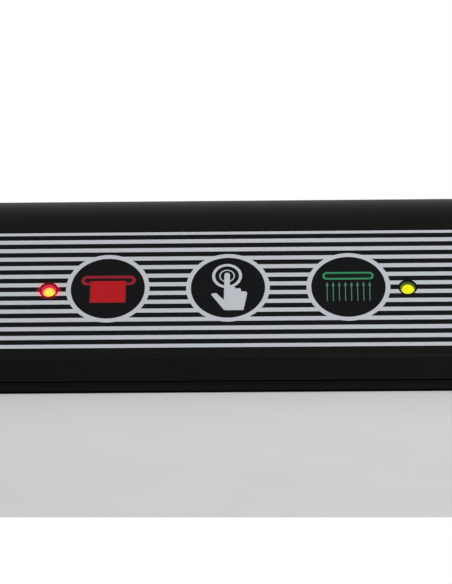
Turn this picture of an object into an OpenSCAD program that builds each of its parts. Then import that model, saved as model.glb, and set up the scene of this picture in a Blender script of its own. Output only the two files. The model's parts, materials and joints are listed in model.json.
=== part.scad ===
// Bar-type vacuum sealer: a lid shell hinged at the rear over a low base with a heat bar.
// Frame: X along the body, +Y to the rear, +Z up, the table at z = 0, origin under the middle
// of the whole machine. Modules draw in body coordinates, where y = 0 is the front face.

/* [Body] */
// Length of the body along X, without the release buttons
body_w = 360; // [350:1:380]
// Depth of the body, front face to rear wall
body_depth = 61.25; // [61:0.25:63]
// Angle of the control panel above the horizontal, in degrees
panel_slope = 46; // [45:0.5:47]
// Height of the edge where the front face meets the control panel
front_edge_z = 9.85; // [9.8:0.05:10.2]
// Radius of the rounded crest
crest_r = 16.2; // [15.8:0.1:16.6]
// Radius of the soft edge between front face and panel
edge_r = 3; // [2:0.5:4]
// Radius of the upright corners in plan
corner_r = 6; // [5:0.5:8]
// Wall thickness of the lid shell and the lower casing
wall = 2; // [1.8:0.1:2]

/* [Parting line] */
// Height of the lid's front lower edge above the table
lid_front_z = 3.4; // [3.4:0.1:3.6]
// Open gap between the lid's front edge and the lower casing
front_gap = 1.2; // [1.2:0.1:1.4]
// Height of the parting line at the rear
lid_rear_z = 22; // [21.5:0.5:22.5]
// Distance behind the front face where the parting line starts to rise
ramp_y0 = 27; // [26:0.5:28]
// Distance behind the front face where the parting line is level again
ramp_y1 = 47; // [46:0.5:48]

/* [Hinge] */
// Distance of the hinge axis behind the rear wall
hinge_off = 1.8; // [1.8:0.1:2]
// Outer radius of the hinge knuckles
knuckle_r = 3; // [2.8:0.1:3]
// Radius of the hinge pins
pin_r = 1.25; // [1:0.05:1.3]
// Distance of each hinge from the end of the body
hinge_inset = 60; // [50:1:70]

/* [Control panel] */
// Bare panel below the printed label, along the slope
label_low = 3.62; // [3.6:0.02:4.5]
// Bare panel above the printed label, along the slope
label_high = 3.4; // [3.2:0.05:4.5]
// Distance of the icons below the middle of the label
icon_drop = -0.32; // [-0.5:0.02:0.5]
// Spacing of the three icons
icon_pitch = 34.36; // [33:0.1:36]
// Length of the printed label
label_w = 133; // [124:1:136]
// Distance of each indicator lamp from the middle icon
lamp_x = 51.25; // [50:0.25:52]
// Diameter of the lamp holes
lamp_hole_d = 5.2; // [5.2:0.1:5.4]

/* [Sealing bed] */
// Height of the bed above the table
bed_z = 8; // [8:0.1:8.2]
// Distance from each end of the body to the end of the heat bar
bar_inset = 25; // [24:0.5:35]
// Width of the heat bar
heat_bar_t = 5; // [4.6:0.2:5.2]
// Width of the foam gaskets
gasket_w = 2.6; // [2.2:0.1:2.8]
// Width of the vacuum trough
trough_d = 7.5; // [7:0.1:7.7]

/* [Latch] */
// Inward travel of the release buttons
latch_travel = 2.5; // [2:0.1:2.5]
// Length of the release buttons along the end walls
button_d = 8.4; // [8:0.2:9]
// How far the release buttons stand out of the end walls
button_out = 1.2; // [0.8:0.1:1.6]

/* [Pump] */
// Room left beside the pump motor in the depth of the housing
motor_room = 3.8; // [3.8:0.1:5.2]
// Length of the pump motor
motor_w = 32; // [28:1:34]

/* [Feet] */
// Height of the lower casing above the table
foot_h = 0.8; // [0.7:0.1:0.8]
// Diameter of the rubber feet
foot_d = 10; // [8:0.5:10]
// Distance of the feet from the end of the body
foot_inset = 30; // [25:1:40]
// Distance of the feet behind the front face and in front of the rear wall
foot_in = 10; // [9:0.25:11]

/* [Hidden] */
$fn = 48;
eps = 0.01;
gap = 0.3;

casing_black = [0.09, 0.09, 0.09];
inner_black = [0.13, 0.13, 0.14];
rubber_black = [0.06, 0.06, 0.06];
steel = [0.75, 0.76, 0.78];
brass = [0.8, 0.66, 0.3];
copper = [0.76, 0.42, 0.22];
board_green = [0.1, 0.36, 0.2];
silicone_grey = [0.7, 0.7, 0.68];

// Outer form of the lid
half_w = body_w / 2;
panel_len = (body_depth - crest_r * (1 + sin(panel_slope))) / cos(panel_slope);
crest_y = body_depth - crest_r;
crest_z = front_edge_z + panel_len * sin(panel_slope) - crest_r * cos(panel_slope);
body_h = crest_z + crest_r;
label_h = panel_len - label_low - label_high;
icon_up = label_low + label_h / 2 - icon_drop;
icon_y = icon_up * cos(panel_slope);
icon_z = front_edge_z + icon_up * sin(panel_slope);
edge_t = edge_r * tan((90 - panel_slope) / 2);
front_y = -(body_depth + hinge_off + knuckle_r) / 2;
depth_k = body_depth / 61.25;

// Hinge
hinge_x = half_w - hinge_inset;
hinge_y = body_depth + hinge_off;
hinge_z = lid_rear_z;
knuckle_gap = 0.4;
lid_knuckle_half = 5.6;
base_knuckle_w = 6;
hinge_half = lid_knuckle_half + knuckle_gap + base_knuckle_w;

// Lower casing
floor_t = 1.4;
floor_z = foot_h + floor_t;
lip_y = 0.15;
lip_z = lid_front_z - front_gap;
rear_gap = 0.6;
rim_w = 1.2;
rim_edge = 0.3;
rim_z = foot_h - 0.5;
tongue_in = 0.7;
tongue_t = 1.1;
tongue_top = lid_front_z - 0.35;
foot_sink = 0.6;
foot_x = half_w - foot_inset;
foot_ys = [foot_in, body_depth - foot_in];

// Sealing bed, from the front
deck_inset = 14.5;
deck_half = half_w - deck_inset;
deck_z0 = floor_z + 0.2;
deck_wall = 1.6;
ramp_foot_y = 2.8;
channel_y0 = 7.9 * depth_k;
ramp_top_y = channel_y0 - 0.5;
channel_y1 = channel_y0 + heat_bar_t + 0.6;
channel_z = bed_z - 4;
gasket_y0 = channel_y1 + 0.7;
gasket_corner = 4;
groove_play = 0.1;
trough_y0 = gasket_y0 + gasket_w + 1;
trough_y1 = trough_y0 + trough_d * depth_k;
trough_z = bed_z - 4.5;
trough_end = 27;
trough_half = half_w - trough_end;
gasket_y1 = trough_y1 + 1 + gasket_w;
gasket_half = deck_half - 5.5;
gasket_z0 = bed_z - 1.6;
gasket_top = bed_z + 1;
port_z = trough_z + 1.8;
port_r = 1.3;

// Raised housing behind the bed
house_y0 = gasket_y1 + 2.3;
house_in = house_y0 + deck_wall;
house_y1 = body_depth - wall - 0.65;
house_rear_in = house_y1 - deck_wall;
house_room = house_rear_in - house_in;
house_top = 31;
house_edge_z = 24;
house_edge_y = house_y0 + 6.8;
house_rear_z = 20;

// Screws of the lower casing: x, y of each
screw_r = 1.25;
screw_play = 0.05;
screw_pad_z = floor_z + 1.4;
corner_screw_x = deck_half - 5;
corner_screw_y = house_rear_in - 3;
screw_pad_r = 3.3;
front_screw_y = house_in + screw_pad_r + 0.1;
casing_screw_at = [
    [-corner_screw_x, front_screw_y], [corner_screw_x, front_screw_y],
    [-corner_screw_x, corner_screw_y], [corner_screw_x, corner_screw_y],
    [-half_w * 4 / 15, front_screw_y], [half_w * 5 / 9, front_screw_y]
];

// Heater stack
bar_y0 = channel_y0 + 0.3;
bar_y1 = bar_y0 + heat_bar_t;
bar_z0 = channel_z + 0.1;
bar_top = bed_z - 0.1;
bar_half = half_w - bar_inset;
ribbon_t = 0.15;
ribbon_w = 3;
tape_t = 0.12;
terminal_w = 6;
channel_half = bar_half + terminal_w + 1.2;

// Liner under the lid
liner_z = bed_z + 2;
liner_top = liner_z + 3.4;
liner_half = deck_half - 3;
liner_y0 = 2.4;
liner_y1 = house_y0 - 1.2;
liner_wall_top = house_top + 3;
liner_skin = 1.6;
pad_z0 = bar_top + ribbon_t + tape_t + gap;
pad_top = liner_z + 1.6;
pad_half = bar_half + 2;
upper_gasket_z0 = gasket_top + gap;
upper_gasket_top = liner_z + 2.2;
liner_screw_xs = [half_w * 5 / 12, half_w - 30];
liner_screw_y = (trough_y0 + trough_y1) / 2;
liner_boss_r = 3.2;
liner_screw_len = 8;

// Control board under the panel, heights below the panel surface
lamp_r = lamp_hole_d / 2 - 0.1;
lamp_tip = -0.3;
lamp_lip_r = lamp_r - 0.4;
lamp_lip_z = lamp_tip - 1;
board_top = -6.5;
board_bottom = -8.1;
board_end = 8.75;
board_half = lamp_x + board_end;
board_y0 = -panel_len * 0.164;
board_clear = 0.64;
board_y1 = (liner_y1 - liner_skin - board_clear + board_bottom * sin(panel_slope))
    / cos(panel_slope) - icon_up;
lamp_y = -0.4;
label_shift = -1.1;
label_up_y = label_low - icon_up;
label_t = 0.25;
label_sink = 0.35;
label_corner = 1;
board_screw_x = board_half - 3.5;
board_screw_len = 4.4;
board_screw_ys = [board_y0 + 2.5, board_y1 - 2.4];
touch_pad_r = 7;
chip_x = 17;
chip_w = 10;
chip_d = 7;
chip_t = 1.5;

// Release buttons: x values are measured from the middle
button_y0 = 11.3 * depth_k;
button_y1 = button_y0 + button_d;
button_z0 = 8.8;
button_z1 = 14.2;
button_in = half_w - 7 - latch_travel;
arm_w = 2.1;
arm_inset = 0.7;
catch_z = floor_z + 1.8;
catch_h = 0.8;
catch_x = half_w - 6.5;
nose_x = half_w - 6;
nose_drop = front_gap * (hinge_y - (button_y0 + button_y1) / 2) / hinge_y;
nose_top = catch_z - 0.05 + nose_drop;
nose_h = 0.9;
rib_x = button_in - latch_travel - 3;
rail_t = 1.6;
spring_r = 2.2;
spring_wire = 0.5;
spring_y = (button_y0 + button_y1) / 2;
spring_z = (button_z0 + button_z1) / 2;
spring_end = half_w - 3.5;

// Pump
motor_d = house_room - motor_room;
motor_y = house_rear_in - 0.6 - motor_d / 2;
motor_z = 15.5;
motor_x1 = 2;
motor_x0 = motor_x1 - motor_w;
tag_y = motor_d / 5;
shaft_r = 1;
shaft_play = 0.05;
head_w = 20;
head_x1 = motor_x1 + head_w;
head_half = motor_d / 2 - 0.8;
head_z0 = floor_z + 0.6;
head_z1 = 23.5;
crank_room_r = 6.5;
crank_x0 = motor_x1 + 6;
crank_t = 4;
crank_r = 4;
crank_throw = 1.2;
diaphragm_t = 1;
diaphragm_r = head_half - 1.4;
cover_t = 3;
port_x = head_x1 + 12;
tube_r = 2.5;
tube_bore_r = 1.5;
nozzle_r = 1.45;
nozzle_len = 4;

// Release valve
valve_x = half_w * 7 / 18;
valve_half = house_room * 0.29;
valve_y = house_rear_in - 2 - valve_half;
valve_body_top = 13;
coil_r = valve_half - 0.5;
coil_top = 25;
plunger_r = 1.5;
plunger_play = 0.06;
plunger_lift = 1.5;

// Power board and its parts
pcb_x0 = -(half_w - 26);
pcb_x1 = -half_w * 31 / 90;
pcb_w = pcb_x1 - pcb_x0;
pcb_y0 = house_in + 1.2;
pcb_y1 = house_rear_in - 1;
pcb_z0 = 5;
pcb_t = 1.6;
pcb_top = pcb_z0 + pcb_t;
pcb_screw_xs = [pcb_x0 + 4, pcb_x1 - 4];
pcb_screw_y = pcb_y0 + 3.4;
core_x = pcb_x1 - pcb_w * 0.283;
core_y = house_in + house_room * 0.545;
core_w = 16;
core_d = house_room * 0.66;
core_z0 = pcb_top + 3;
core_h = 10;
bobbin_w = 20;
bobbin_d = house_room * 0.785;
winding_w = 10;
winding_h = 12;
cap_x = pcb_x1 - pcb_w * 0.087;
cap_y = house_in + house_room * 0.587;
cap_r = 5;
cap_h = 15;
relay_x = pcb_x1 - pcb_w * 0.538;
relay_y = house_in + house_room * 0.525;
relay_w = 15;
relay_d = house_room * 0.455;
relay_h = 12;
fuse_x = pcb_x0 + 16;
fuse_y = pcb_y0 + 3.2;
fuse_w = 10;
fuse_r = 1.8;
cutout_x = -deck_half + 20;
cutout_w = 12;
cutout_d = 2.9;
cutout_z = 20;
cutout_h = 3;

// Mains inlet in the rear wall
inlet_x = -(half_w - 42);
inlet_z = 12.6;
inlet_half = 13;
inlet_h = 5.4;
inlet_depth = 15;
inlet_room = 12;
inlet_lobe_r = 4;
inlet_lobe_x = 5.4;
inlet_pin_r = 1.2;
inlet_pin_x = 4.3;

// Lid switch
switch_x0 = half_w - 47;
switch_x1 = half_w - 27;
switch_y0 = house_in + house_room * 0.298;
switch_y1 = switch_y0 + 6.4;
switch_z0 = 17.6;
switch_z1 = 27;
lever_pivot_x = switch_x0 + 2;
lever_pivot_z = switch_z1 + 1.7;
switch_button_z = switch_z1 + 1;
lever_end_x = switch_x1 - 2;
roller_r = 1.6;
roller_z = house_top - 0.6;
rib_bottom = roller_z + roller_r + gap;

// Shared shapes

module at_body() {
    translate([0, front_y, 0]) children();
}

module both_ends() {
    children();
    mirror([1, 0, 0]) children();
}

module block(x0, x1, y0, y1, z0, z1) {
    translate([x0, y0, z0]) cube([x1 - x0, y1 - y0, z1 - z0]);
}

module mid_block(x, y, w, d, z0, z1) {
    block(x - w / 2, x + w / 2, y - d / 2, y + d / 2, z0, z1);
}

module along_x(x0, x1) {
    translate([x0, 0, 0]) rotate([90, 0, 90]) linear_extrude(x1 - x0) children();
}

module rod_x(x0, x1, y, z, r) {
    translate([x0, y, z]) rotate([0, 90, 0]) cylinder(h = x1 - x0, r = r);
}

module rod_y(x, y0, y1, z, r) {
    translate([x, y0, z]) rotate([-90, 0, 0]) cylinder(h = y1 - y0, r = r);
}

module rod_z(x, y, z0, z1, r) {
    translate([x, y, z0]) cylinder(h = z1 - z0, r = r);
}

module rounded(x0, x1, y0, y1, r) {
    translate([x0 + r, y0]) square([x1 - x0 - 2 * r, y1 - y0]);
    translate([x0, y0 + r]) square([x1 - x0, y1 - y0 - 2 * r]);
    for (x = [x0 + r, x1 - r]) for (y = [y0 + r, y1 - r]) translate([x, y]) circle(r);
}

// Rounded block: upright corners rounded in plan
module rounded_block(x0, x1, y0, y1, z0, z1, r) {
    translate([0, 0, z0]) linear_extrude(z1 - z0) rounded(x0, x1, y0, y1, r);
}

// Frame on the control panel: x along the body, y up the slope, z out of the panel
module on_panel() {
    translate([0, icon_y, icon_z]) rotate([panel_slope, 0, 0]) children();
}

// Section of the body, drawn inset by w: front face, panel, round crest, rear wall
module body_section(w) {
    corner_z = front_edge_z + w * tan(panel_slope) - w / cos(panel_slope);
    crest_start = [
        crest_y - (crest_r - w) * sin(panel_slope),
        crest_z + (crest_r - w) * cos(panel_slope)
    ];
    front_points = w > 0
        ? [[w, corner_z]]
        : [
            [0, front_edge_z - edge_t],
            [edge_t * cos(panel_slope), front_edge_z + edge_t * sin(panel_slope)]
        ];
    polygon(concat(
        [[w, -1]],
        front_points,
        [crest_start, [crest_y, crest_z], [body_depth - w, crest_z], [body_depth - w, -1]]
    ));
    translate([crest_y, crest_z]) circle(crest_r - w, $fn = 96);
    if (w == 0) translate([edge_r, front_edge_z - edge_t]) circle(edge_r);
}

// Whole body envelope inset by w, open below
module body_solid(w) {
    intersection() {
        along_x(-half_w + w, half_w - w) body_section(w);
        rounded_block(-half_w + w, half_w - w, w, body_depth - w, -2, body_h + 1, corner_r - w);
    }
}

// Space above the parting line
module above_parting() {
    top = body_h + 5;
    along_x(-half_w - 5, half_w + 5) polygon([
        [-1, lid_front_z], [ramp_y0, lid_front_z], [ramp_y1, lid_rear_z],
        [body_depth + 9, lid_rear_z], [body_depth + 9, top], [-1, top]
    ]);
}

// Racetrack ring of the gaskets, widened by play on both sides
module gasket_ring(z0, z1, play) {
    difference() {
        rounded_block(
            -gasket_half - play, gasket_half + play,
            gasket_y0 - play, gasket_y1 + play, z0, z1, gasket_corner + play
        );
        rounded_block(
            -gasket_half + gasket_w + play, gasket_half - gasket_w - play,
            gasket_y0 + gasket_w + play, gasket_y1 - gasket_w - play,
            z0 - 1, z1 + 1, gasket_corner - gasket_w - play
        );
    }
}

// Pan head screw pointing up, its head's underside at z
module screw_up(x, y, z, len, r, head_r, head_h) {
    rod_z(x, y, z, z + len, r);
    difference() {
        rod_z(x, y, z - head_h, z, head_r);
        for (turn = [0, 90]) translate([x, y, z - head_h]) rotate([0, 0, turn])
            cube([0.7, 2 * head_r - 1.6, 1], center = true);
    }
}

// Round wire through a list of points
module wire(points, r) {
    for (i = [0 : len(points) - 2]) {
        step = points[i + 1] - points[i];
        turn = atan2(norm([step[0], step[1]]), step[2]);
        translate(points[i]) rotate([0, turn, atan2(step[1], step[0])])
            cylinder(h = norm(step), r = r, $fn = 16);
    }
    for (i = [1 : len(points) - 2]) translate(points[i]) sphere(r * 1.15, $fn = 16);
}

// Base

module lower_casing() {
    color(casing_black) at_body() difference() {
        union() {
            difference() {
                intersection() {
                    along_x(-half_w, half_w) polygon([
                        [lip_y + rim_edge, rim_z], [lip_y, rim_z + rim_edge], [lip_y, lip_z],
                        [ramp_y0, lip_z], [ramp_y1, lid_rear_z - rear_gap],
                        [body_depth, lid_rear_z - rear_gap],
                        [body_depth, rim_z + rim_edge], [body_depth - rim_edge, rim_z]
                    ]);
                    rounded_block(-half_w, half_w, 0, body_depth, 0, body_h, corner_r);
                }
                rounded_block(
                    -half_w + wall, half_w - wall, -9, body_depth - wall,
                    floor_z, body_h, corner_r - wall
                );
                rounded_block(
                    -half_w + rim_w, half_w - rim_w, lip_y + rim_w, body_depth - rim_w,
                    -1, foot_h, corner_r - rim_w
                );
            }
            casing_tongue();
            for (at = casing_screw_at) rod_z(at[0], at[1], floor_z - eps, screw_pad_z, screw_pad_r);
            for (x = pcb_screw_xs) rod_z(x, pcb_screw_y, floor_z - eps, pcb_z0, 2.6);
            both_ends() catch_post();
            both_ends() for (x = [hinge_x - hinge_half, hinge_x + lid_knuckle_half + knuckle_gap])
                base_knuckle(x);
        }
        for (at = casing_screw_at) {
            rod_z(at[0], at[1], 0, foot_h + 1.3, 3);
            rod_z(at[0], at[1], 0, screw_pad_z + 1, screw_r + 0.25);
        }
        for (x = pcb_screw_xs) rod_z(x, pcb_screw_y, floor_z, pcb_z0 + 1, 1.05);
        both_ends() {
            for (y = foot_ys) rod_z(foot_x, y, 0, foot_h + foot_sink, foot_d / 2);
            rod_x(
                hinge_x - lid_knuckle_half - knuckle_gap, hinge_x + lid_knuckle_half + knuckle_gap,
                hinge_y, hinge_z, knuckle_r + knuckle_gap
            );
            rod_x(
                hinge_x - hinge_half - 1, hinge_x + hinge_half + 1,
                hinge_y, hinge_z, pin_r + 0.01
            );
        }
        block(
            inlet_x - inlet_half + 1, inlet_x + inlet_half - 1,
            body_depth - wall - 1, body_depth + 1, inlet_z - inlet_h + 1, inlet_z + inlet_h - 1
        );
    }
}

// Raised edge behind the lip, under the lid's wall, along the front and the level part of the ends
module casing_tongue() {
    tongue_out = tongue_in + tongue_t;
    intersection() {
        difference() {
            rounded_block(
                -half_w + tongue_in, half_w - tongue_in, tongue_in, body_depth - tongue_in,
                foot_h + floor_t / 2, tongue_top, corner_r - tongue_in
            );
            rounded_block(
                -half_w + tongue_out, half_w - tongue_out, tongue_out, body_depth - tongue_out,
                0, body_h, corner_r - tongue_out
            );
        }
        block(-half_w, half_w, 0, ramp_y0 - 0.5, 0, body_h);
    }
}

module base_knuckle(x) {
    rod_x(x, x + base_knuckle_w, hinge_y, hinge_z, knuckle_r);
    block(
        x, x + base_knuckle_w, body_depth - 0.5, hinge_y,
        hinge_z - knuckle_r, hinge_z - rear_gap
    );
}

// Fixed catch at the end of the casing, with its lip facing the middle
module catch_post() {
    post_x = catch_x + 1.4;
    translate([0, button_y1 + 0.5, 0]) rotate([90, 0, 0]) linear_extrude(button_y1 - button_y0 + 1)
        polygon([
            [post_x, floor_z - eps], [post_x, catch_z], [catch_x, catch_z],
            [catch_x + catch_h, catch_z + catch_h], [post_x + 1.4, catch_z + catch_h],
            [post_x + 1.4, floor_z - eps]
        ]);
}

module base_deck() {
    color(inner_black) at_body() difference() {
        union() {
            along_x(-deck_half, deck_half) polygon([
                [ramp_foot_y, deck_z0], [ramp_foot_y, deck_z0 + 0.5],
                [ramp_top_y, bed_z - 0.3], [channel_y0, bed_z], [house_y0, bed_z],
                [house_y0, house_edge_z], [house_edge_y, house_top], [house_y1, house_top],
                [house_y1, house_rear_z], [house_rear_in, house_rear_z],
                [house_rear_in, house_top - deck_wall], [house_edge_y + 0.7, house_top - deck_wall],
                [house_in, house_edge_z - 0.7], [house_in, deck_z0]
            ]);
            both_ends() along_x(deck_half - deck_wall, deck_half) polygon([
                [house_y0 + 1, deck_z0], [house_y0 + 1, house_edge_z],
                [house_edge_y, house_top - 1], [house_rear_in + 0.5, house_top - 1],
                [house_rear_in + 0.5, deck_z0 + 0.2]
            ]);
            for (at = casing_screw_at) intersection() {
                rod_z(at[0], at[1], screw_pad_z + 0.1, house_top, 3.1);
                along_x(-deck_half, deck_half) polygon([
                    [house_y0 + 1, 0], [house_y0 + 1, house_edge_z],
                    [house_edge_y, house_top - 0.5], [house_y1, house_top - 0.5], [house_y1, 0]
                ]);
            }
            for (x = [port_x, valve_x]) rod_y(x, house_y0 + 1, house_in + 3, port_z, nozzle_r + 0.02);
        }
        for (at = casing_screw_at) rod_z(at[0], at[1], screw_pad_z, screw_pad_z + 10, screw_r + screw_play);
        block(
            -channel_half, channel_half, channel_y0, channel_y1, channel_z, bed_z + 1
        );
        gasket_ring(gasket_z0, bed_z + 1, groove_play);
        rounded_block(
            -trough_half, trough_half, trough_y0, trough_y1, trough_z, bed_z + 1,
            (trough_y1 - trough_y0) / 2 - 0.5
        );
        for (x = [port_x, valve_x]) rod_y(x, trough_y1 - 1, house_in + 5, port_z, port_r - 0.3);
        both_ends() rod_z(bar_half + 4, (bar_y0 + bar_y1) / 2, 0, channel_z + 1, 1.2);
        block(
            switch_x0 - 1.4, switch_x1 + 1.6, switch_y0 + 0.4, switch_y1 - 0.4,
            house_top - deck_wall - 1, house_top + 1
        );
    }
}

module rubber_feet() {
    color(rubber_black) at_body() both_ends() for (y = foot_ys)
        rod_z(foot_x, y, 0, foot_h + foot_sink, foot_d / 2);
}

module casing_screws() {
    color(steel) at_body() for (at = casing_screw_at)
        screw_up(at[0], at[1], foot_h + 1.3, 10, screw_r, 2.6, 1.1);
}

module hinge_pins() {
    color(steel) at_body() both_ends()
        rod_x(hinge_x - hinge_half + 0.2, hinge_x + hinge_half - 0.2, hinge_y, hinge_z, pin_r);
}

module heat_bar() {
    color([0.7, 0.62, 0.45]) at_body() block(-bar_half, bar_half, bar_y0, bar_y1, bar_z0, bar_top);
}

module heating_ribbon() {
    mid = (bar_y0 + bar_y1) / 2;
    color(steel) at_body() {
        block(
            -bar_half, bar_half, mid - ribbon_w / 2, mid + ribbon_w / 2,
            bar_top, bar_top + ribbon_t
        );
        both_ends() block(
            bar_half, bar_half + ribbon_t, mid - ribbon_w / 2, mid + ribbon_w / 2,
            bar_z0 + 1, bar_top + ribbon_t
        );
    }
}

module ribbon_terminals() {
    mid = (bar_y0 + bar_y1) / 2;
    color(brass) at_body() both_ends() difference() {
        block(
            bar_half + ribbon_t, bar_half + terminal_w, mid - 1.7, mid + 1.7,
            channel_z, bar_top - 0.6
        );
        rod_z(bar_half + 4, mid, bar_top - 1.6, bar_top, 1.1);
    }
}

module ptfe_tape() {
    color([0.62, 0.5, 0.32]) at_body() block(
        -bar_half + 1, bar_half - 1, bar_y0, bar_y1,
        bar_top + ribbon_t, bar_top + ribbon_t + tape_t
    );
}

module lower_gasket() {
    color(rubber_black) at_body() gasket_ring(gasket_z0, gasket_top, 0);
}

// Pump

module pump_motor() {
    color(steel) at_body() difference() {
        union() {
            rod_x(motor_x0, motor_x1, motor_y, motor_z, motor_d / 2);
            rod_x(motor_x1 - eps, motor_x1 + 1.5, motor_y, motor_z, 3);
        }
        rod_x(motor_x0 - 1, motor_x1 + 2, motor_y, motor_z, shaft_r + shaft_play);
    }
}

module motor_end_cap() {
    color(inner_black) at_body() difference() {
        union() {
            rod_x(motor_x0 - 1.6, motor_x0, motor_y, motor_z, motor_d / 2 - 1);
            rod_x(motor_x0 - 3, motor_x0, motor_y, motor_z, 3);
            for (side = [-1, 1]) block(
                motor_x0 - 4.4, motor_x0, motor_y + side * tag_y - 1, motor_y + side * tag_y + 1,
                motor_z - 0.3, motor_z + 0.3
            );
        }
        rod_x(motor_x0 - 5, motor_x0 + 1, motor_y, motor_z, shaft_r + shaft_play);
    }
}

module pump_crank() {
    color(steel) at_body() {
        rod_x(motor_x0 - 2, crank_x0 + crank_t + 1, motor_y, motor_z, shaft_r);
        rod_x(crank_x0, crank_x0 + crank_t, motor_y, motor_z + crank_throw, crank_r);
    }
}

module pump_head() {
    color([0.85, 0.85, 0.83]) at_body() difference() {
        union() {
            block(
                motor_x1, head_x1, motor_y - head_half, motor_y + head_half, head_z0, head_z1
            );
            rod_x(head_x1 - 1, head_x1 + nozzle_len, motor_y - 3, port_z + 0.4, nozzle_r);
        }
        rod_x(motor_x1 - 1, motor_x1 + 1.6, motor_y, motor_z, 3.1);
        rod_x(motor_x1 + 1.5, head_x1 - 2, motor_y, motor_z, crank_room_r);
        rod_x(motor_x1 + 12, head_x1 + nozzle_len + 1, motor_y - 3, port_z + 0.4, 0.8);
    }
}

module pump_diaphragm() {
    color(rubber_black) at_body() block(
        motor_x1 + 1, head_x1 - 1, motor_y - diaphragm_r, motor_y + diaphragm_r,
        head_z1, head_z1 + diaphragm_t
    );
}

module pump_head_cover() {
    top = head_z1 + diaphragm_t + cover_t;
    color([0.85, 0.85, 0.83]) at_body() difference() {
        rounded_block(
            motor_x1 + 0.5, head_x1 - 0.5, motor_y - head_half + 0.5, motor_y + head_half - 0.5,
            head_z1 + diaphragm_t, top, 2
        );
        for (x = [motor_x1 + 3.5, head_x1 - 3.5]) for (side = [-1, 1])
            rod_z(x, motor_y + side * (head_half - 3.4), top - 1, top + 1, 1.3);
    }
}

// Saddle strap that holds the motor down on the casing floor
module pump_strap() {
    strap_w = 8;
    mid = motor_x0 + motor_w / 2;
    r = motor_d / 2;
    color(steel) at_body() difference() {
        union() {
            rod_x(mid - strap_w / 2, mid + strap_w / 2, motor_y, motor_z, r + 0.55);
            block(
                mid - strap_w / 2, mid + strap_w / 2, motor_y - r - 0.55, motor_y + r + 0.55,
                floor_z, motor_z
            );
        }
        rod_x(mid - strap_w, mid + strap_w, motor_y, motor_z, r);
        block(
            mid - strap_w, mid + strap_w, motor_y - r + 0.3, motor_y + r - 0.3,
            floor_z - 1, motor_z
        );
    }
}

module tube_bend(x, y, r) {
    translate([x, y, port_z]) sphere(r);
}

// Silicone tube from the trough's port to the pump's inlet
module pump_tube() {
    end_y = motor_y - 3;
    color(silicone_grey) at_body() difference() {
        union() {
            rod_y(port_x, house_in + 0.2, end_y, port_z, tube_r);
            tube_bend(port_x, end_y, tube_r);
            rod_x(head_x1 + 0.2, port_x, end_y, port_z, tube_r);
        }
        rod_y(port_x, house_in, end_y, port_z, tube_bore_r);
        tube_bend(port_x, end_y, tube_bore_r);
        rod_x(head_x1, port_x, end_y, port_z, tube_bore_r);
        rod_x(head_x1, head_x1 + nozzle_len + 0.1, end_y, port_z + 0.4, nozzle_r + 0.02);
    }
}

// Release valve

module valve_body() {
    color([0.85, 0.85, 0.83]) at_body() difference() {
        union() {
            block(
                valve_x - valve_half, valve_x + valve_half, valve_y - valve_half,
                valve_y + valve_half, floor_z, valve_body_top
            );
            rod_y(valve_x, valve_y - valve_half - nozzle_len, valve_y - valve_half + 1, port_z, nozzle_r);
        }
        rod_z(valve_x, valve_y, port_z, valve_body_top + 1, plunger_r + plunger_play);
        rod_y(valve_x, valve_y - valve_half - nozzle_len - 1, valve_y, port_z, 0.8);
    }
}

module valve_coil() {
    color(copper) at_body() difference() {
        union() {
            rod_z(valve_x, valve_y, valve_body_top + 1, coil_top - 1, coil_r - 0.6);
            rod_z(valve_x, valve_y, valve_body_top, valve_body_top + 1, coil_r);
            rod_z(valve_x, valve_y, coil_top - 1, coil_top, coil_r);
        }
        rod_z(valve_x, valve_y, valve_body_top - 1, coil_top - 4, plunger_r + plunger_play);
        rod_z(valve_x, valve_y, coil_top - 5, coil_top - 0.6, spring_r + 0.2);
    }
}

module valve_plunger() {
    color(steel) at_body() {
        rod_z(valve_x, valve_y, port_z + 1.4, coil_top - 4.6, plunger_r);
        rod_z(valve_x, valve_y, coil_top - 4.6, coil_top - 4.1, 1.9);
    }
}

module valve_spring() {
    color(steel) at_body() difference() {
        rod_z(valve_x, valve_y, coil_top - 4.1, coil_top - 0.6, spring_r - 0.2);
        rod_z(valve_x, valve_y, coil_top - 5, coil_top + 1, spring_r - 0.2 - spring_wire);
    }
}

module valve_tube() {
    end_y = valve_y - valve_half - 0.2;
    color(silicone_grey) at_body() difference() {
        rod_y(valve_x, house_in + 0.2, end_y, port_z, tube_r);
        rod_y(valve_x, house_in, end_y + 1, port_z, nozzle_r + 0.02);
    }
}

// Electrics of the base

module power_board() {
    color(board_green) at_body() difference() {
        block(pcb_x0, pcb_x1, pcb_y0, pcb_y1, pcb_z0, pcb_top);
        for (x = pcb_screw_xs) rod_z(x, pcb_screw_y, pcb_z0 - 1, pcb_top + 1, 1.3);
    }
}

module board_screws() {
    color(steel) at_body() for (x = pcb_screw_xs) {
        rod_z(x, pcb_screw_y, floor_z + 0.4, pcb_top, 1);
        rod_z(x, pcb_screw_y, pcb_top, pcb_top + 1.2, 2.1);
    }
}

module transformer() {
    color([0.75, 0.68, 0.3]) at_body() {
        mid_block(core_x, core_y, core_w, core_d, core_z0, core_z0 + core_h);
        mid_block(core_x, core_y, bobbin_w, bobbin_d, pcb_top, core_z0);
        mid_block(core_x, core_y, winding_w, bobbin_d, core_z0, core_z0 + winding_h);
    }
}

module main_capacitor() {
    color([0.12, 0.16, 0.3]) at_body() rod_z(cap_x, cap_y, pcb_top, pcb_top + cap_h, cap_r);
}

module heater_relay() {
    color([0.1, 0.25, 0.5]) at_body()
        mid_block(relay_x, relay_y, relay_w, relay_d, pcb_top, pcb_top + relay_h);
}

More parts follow.
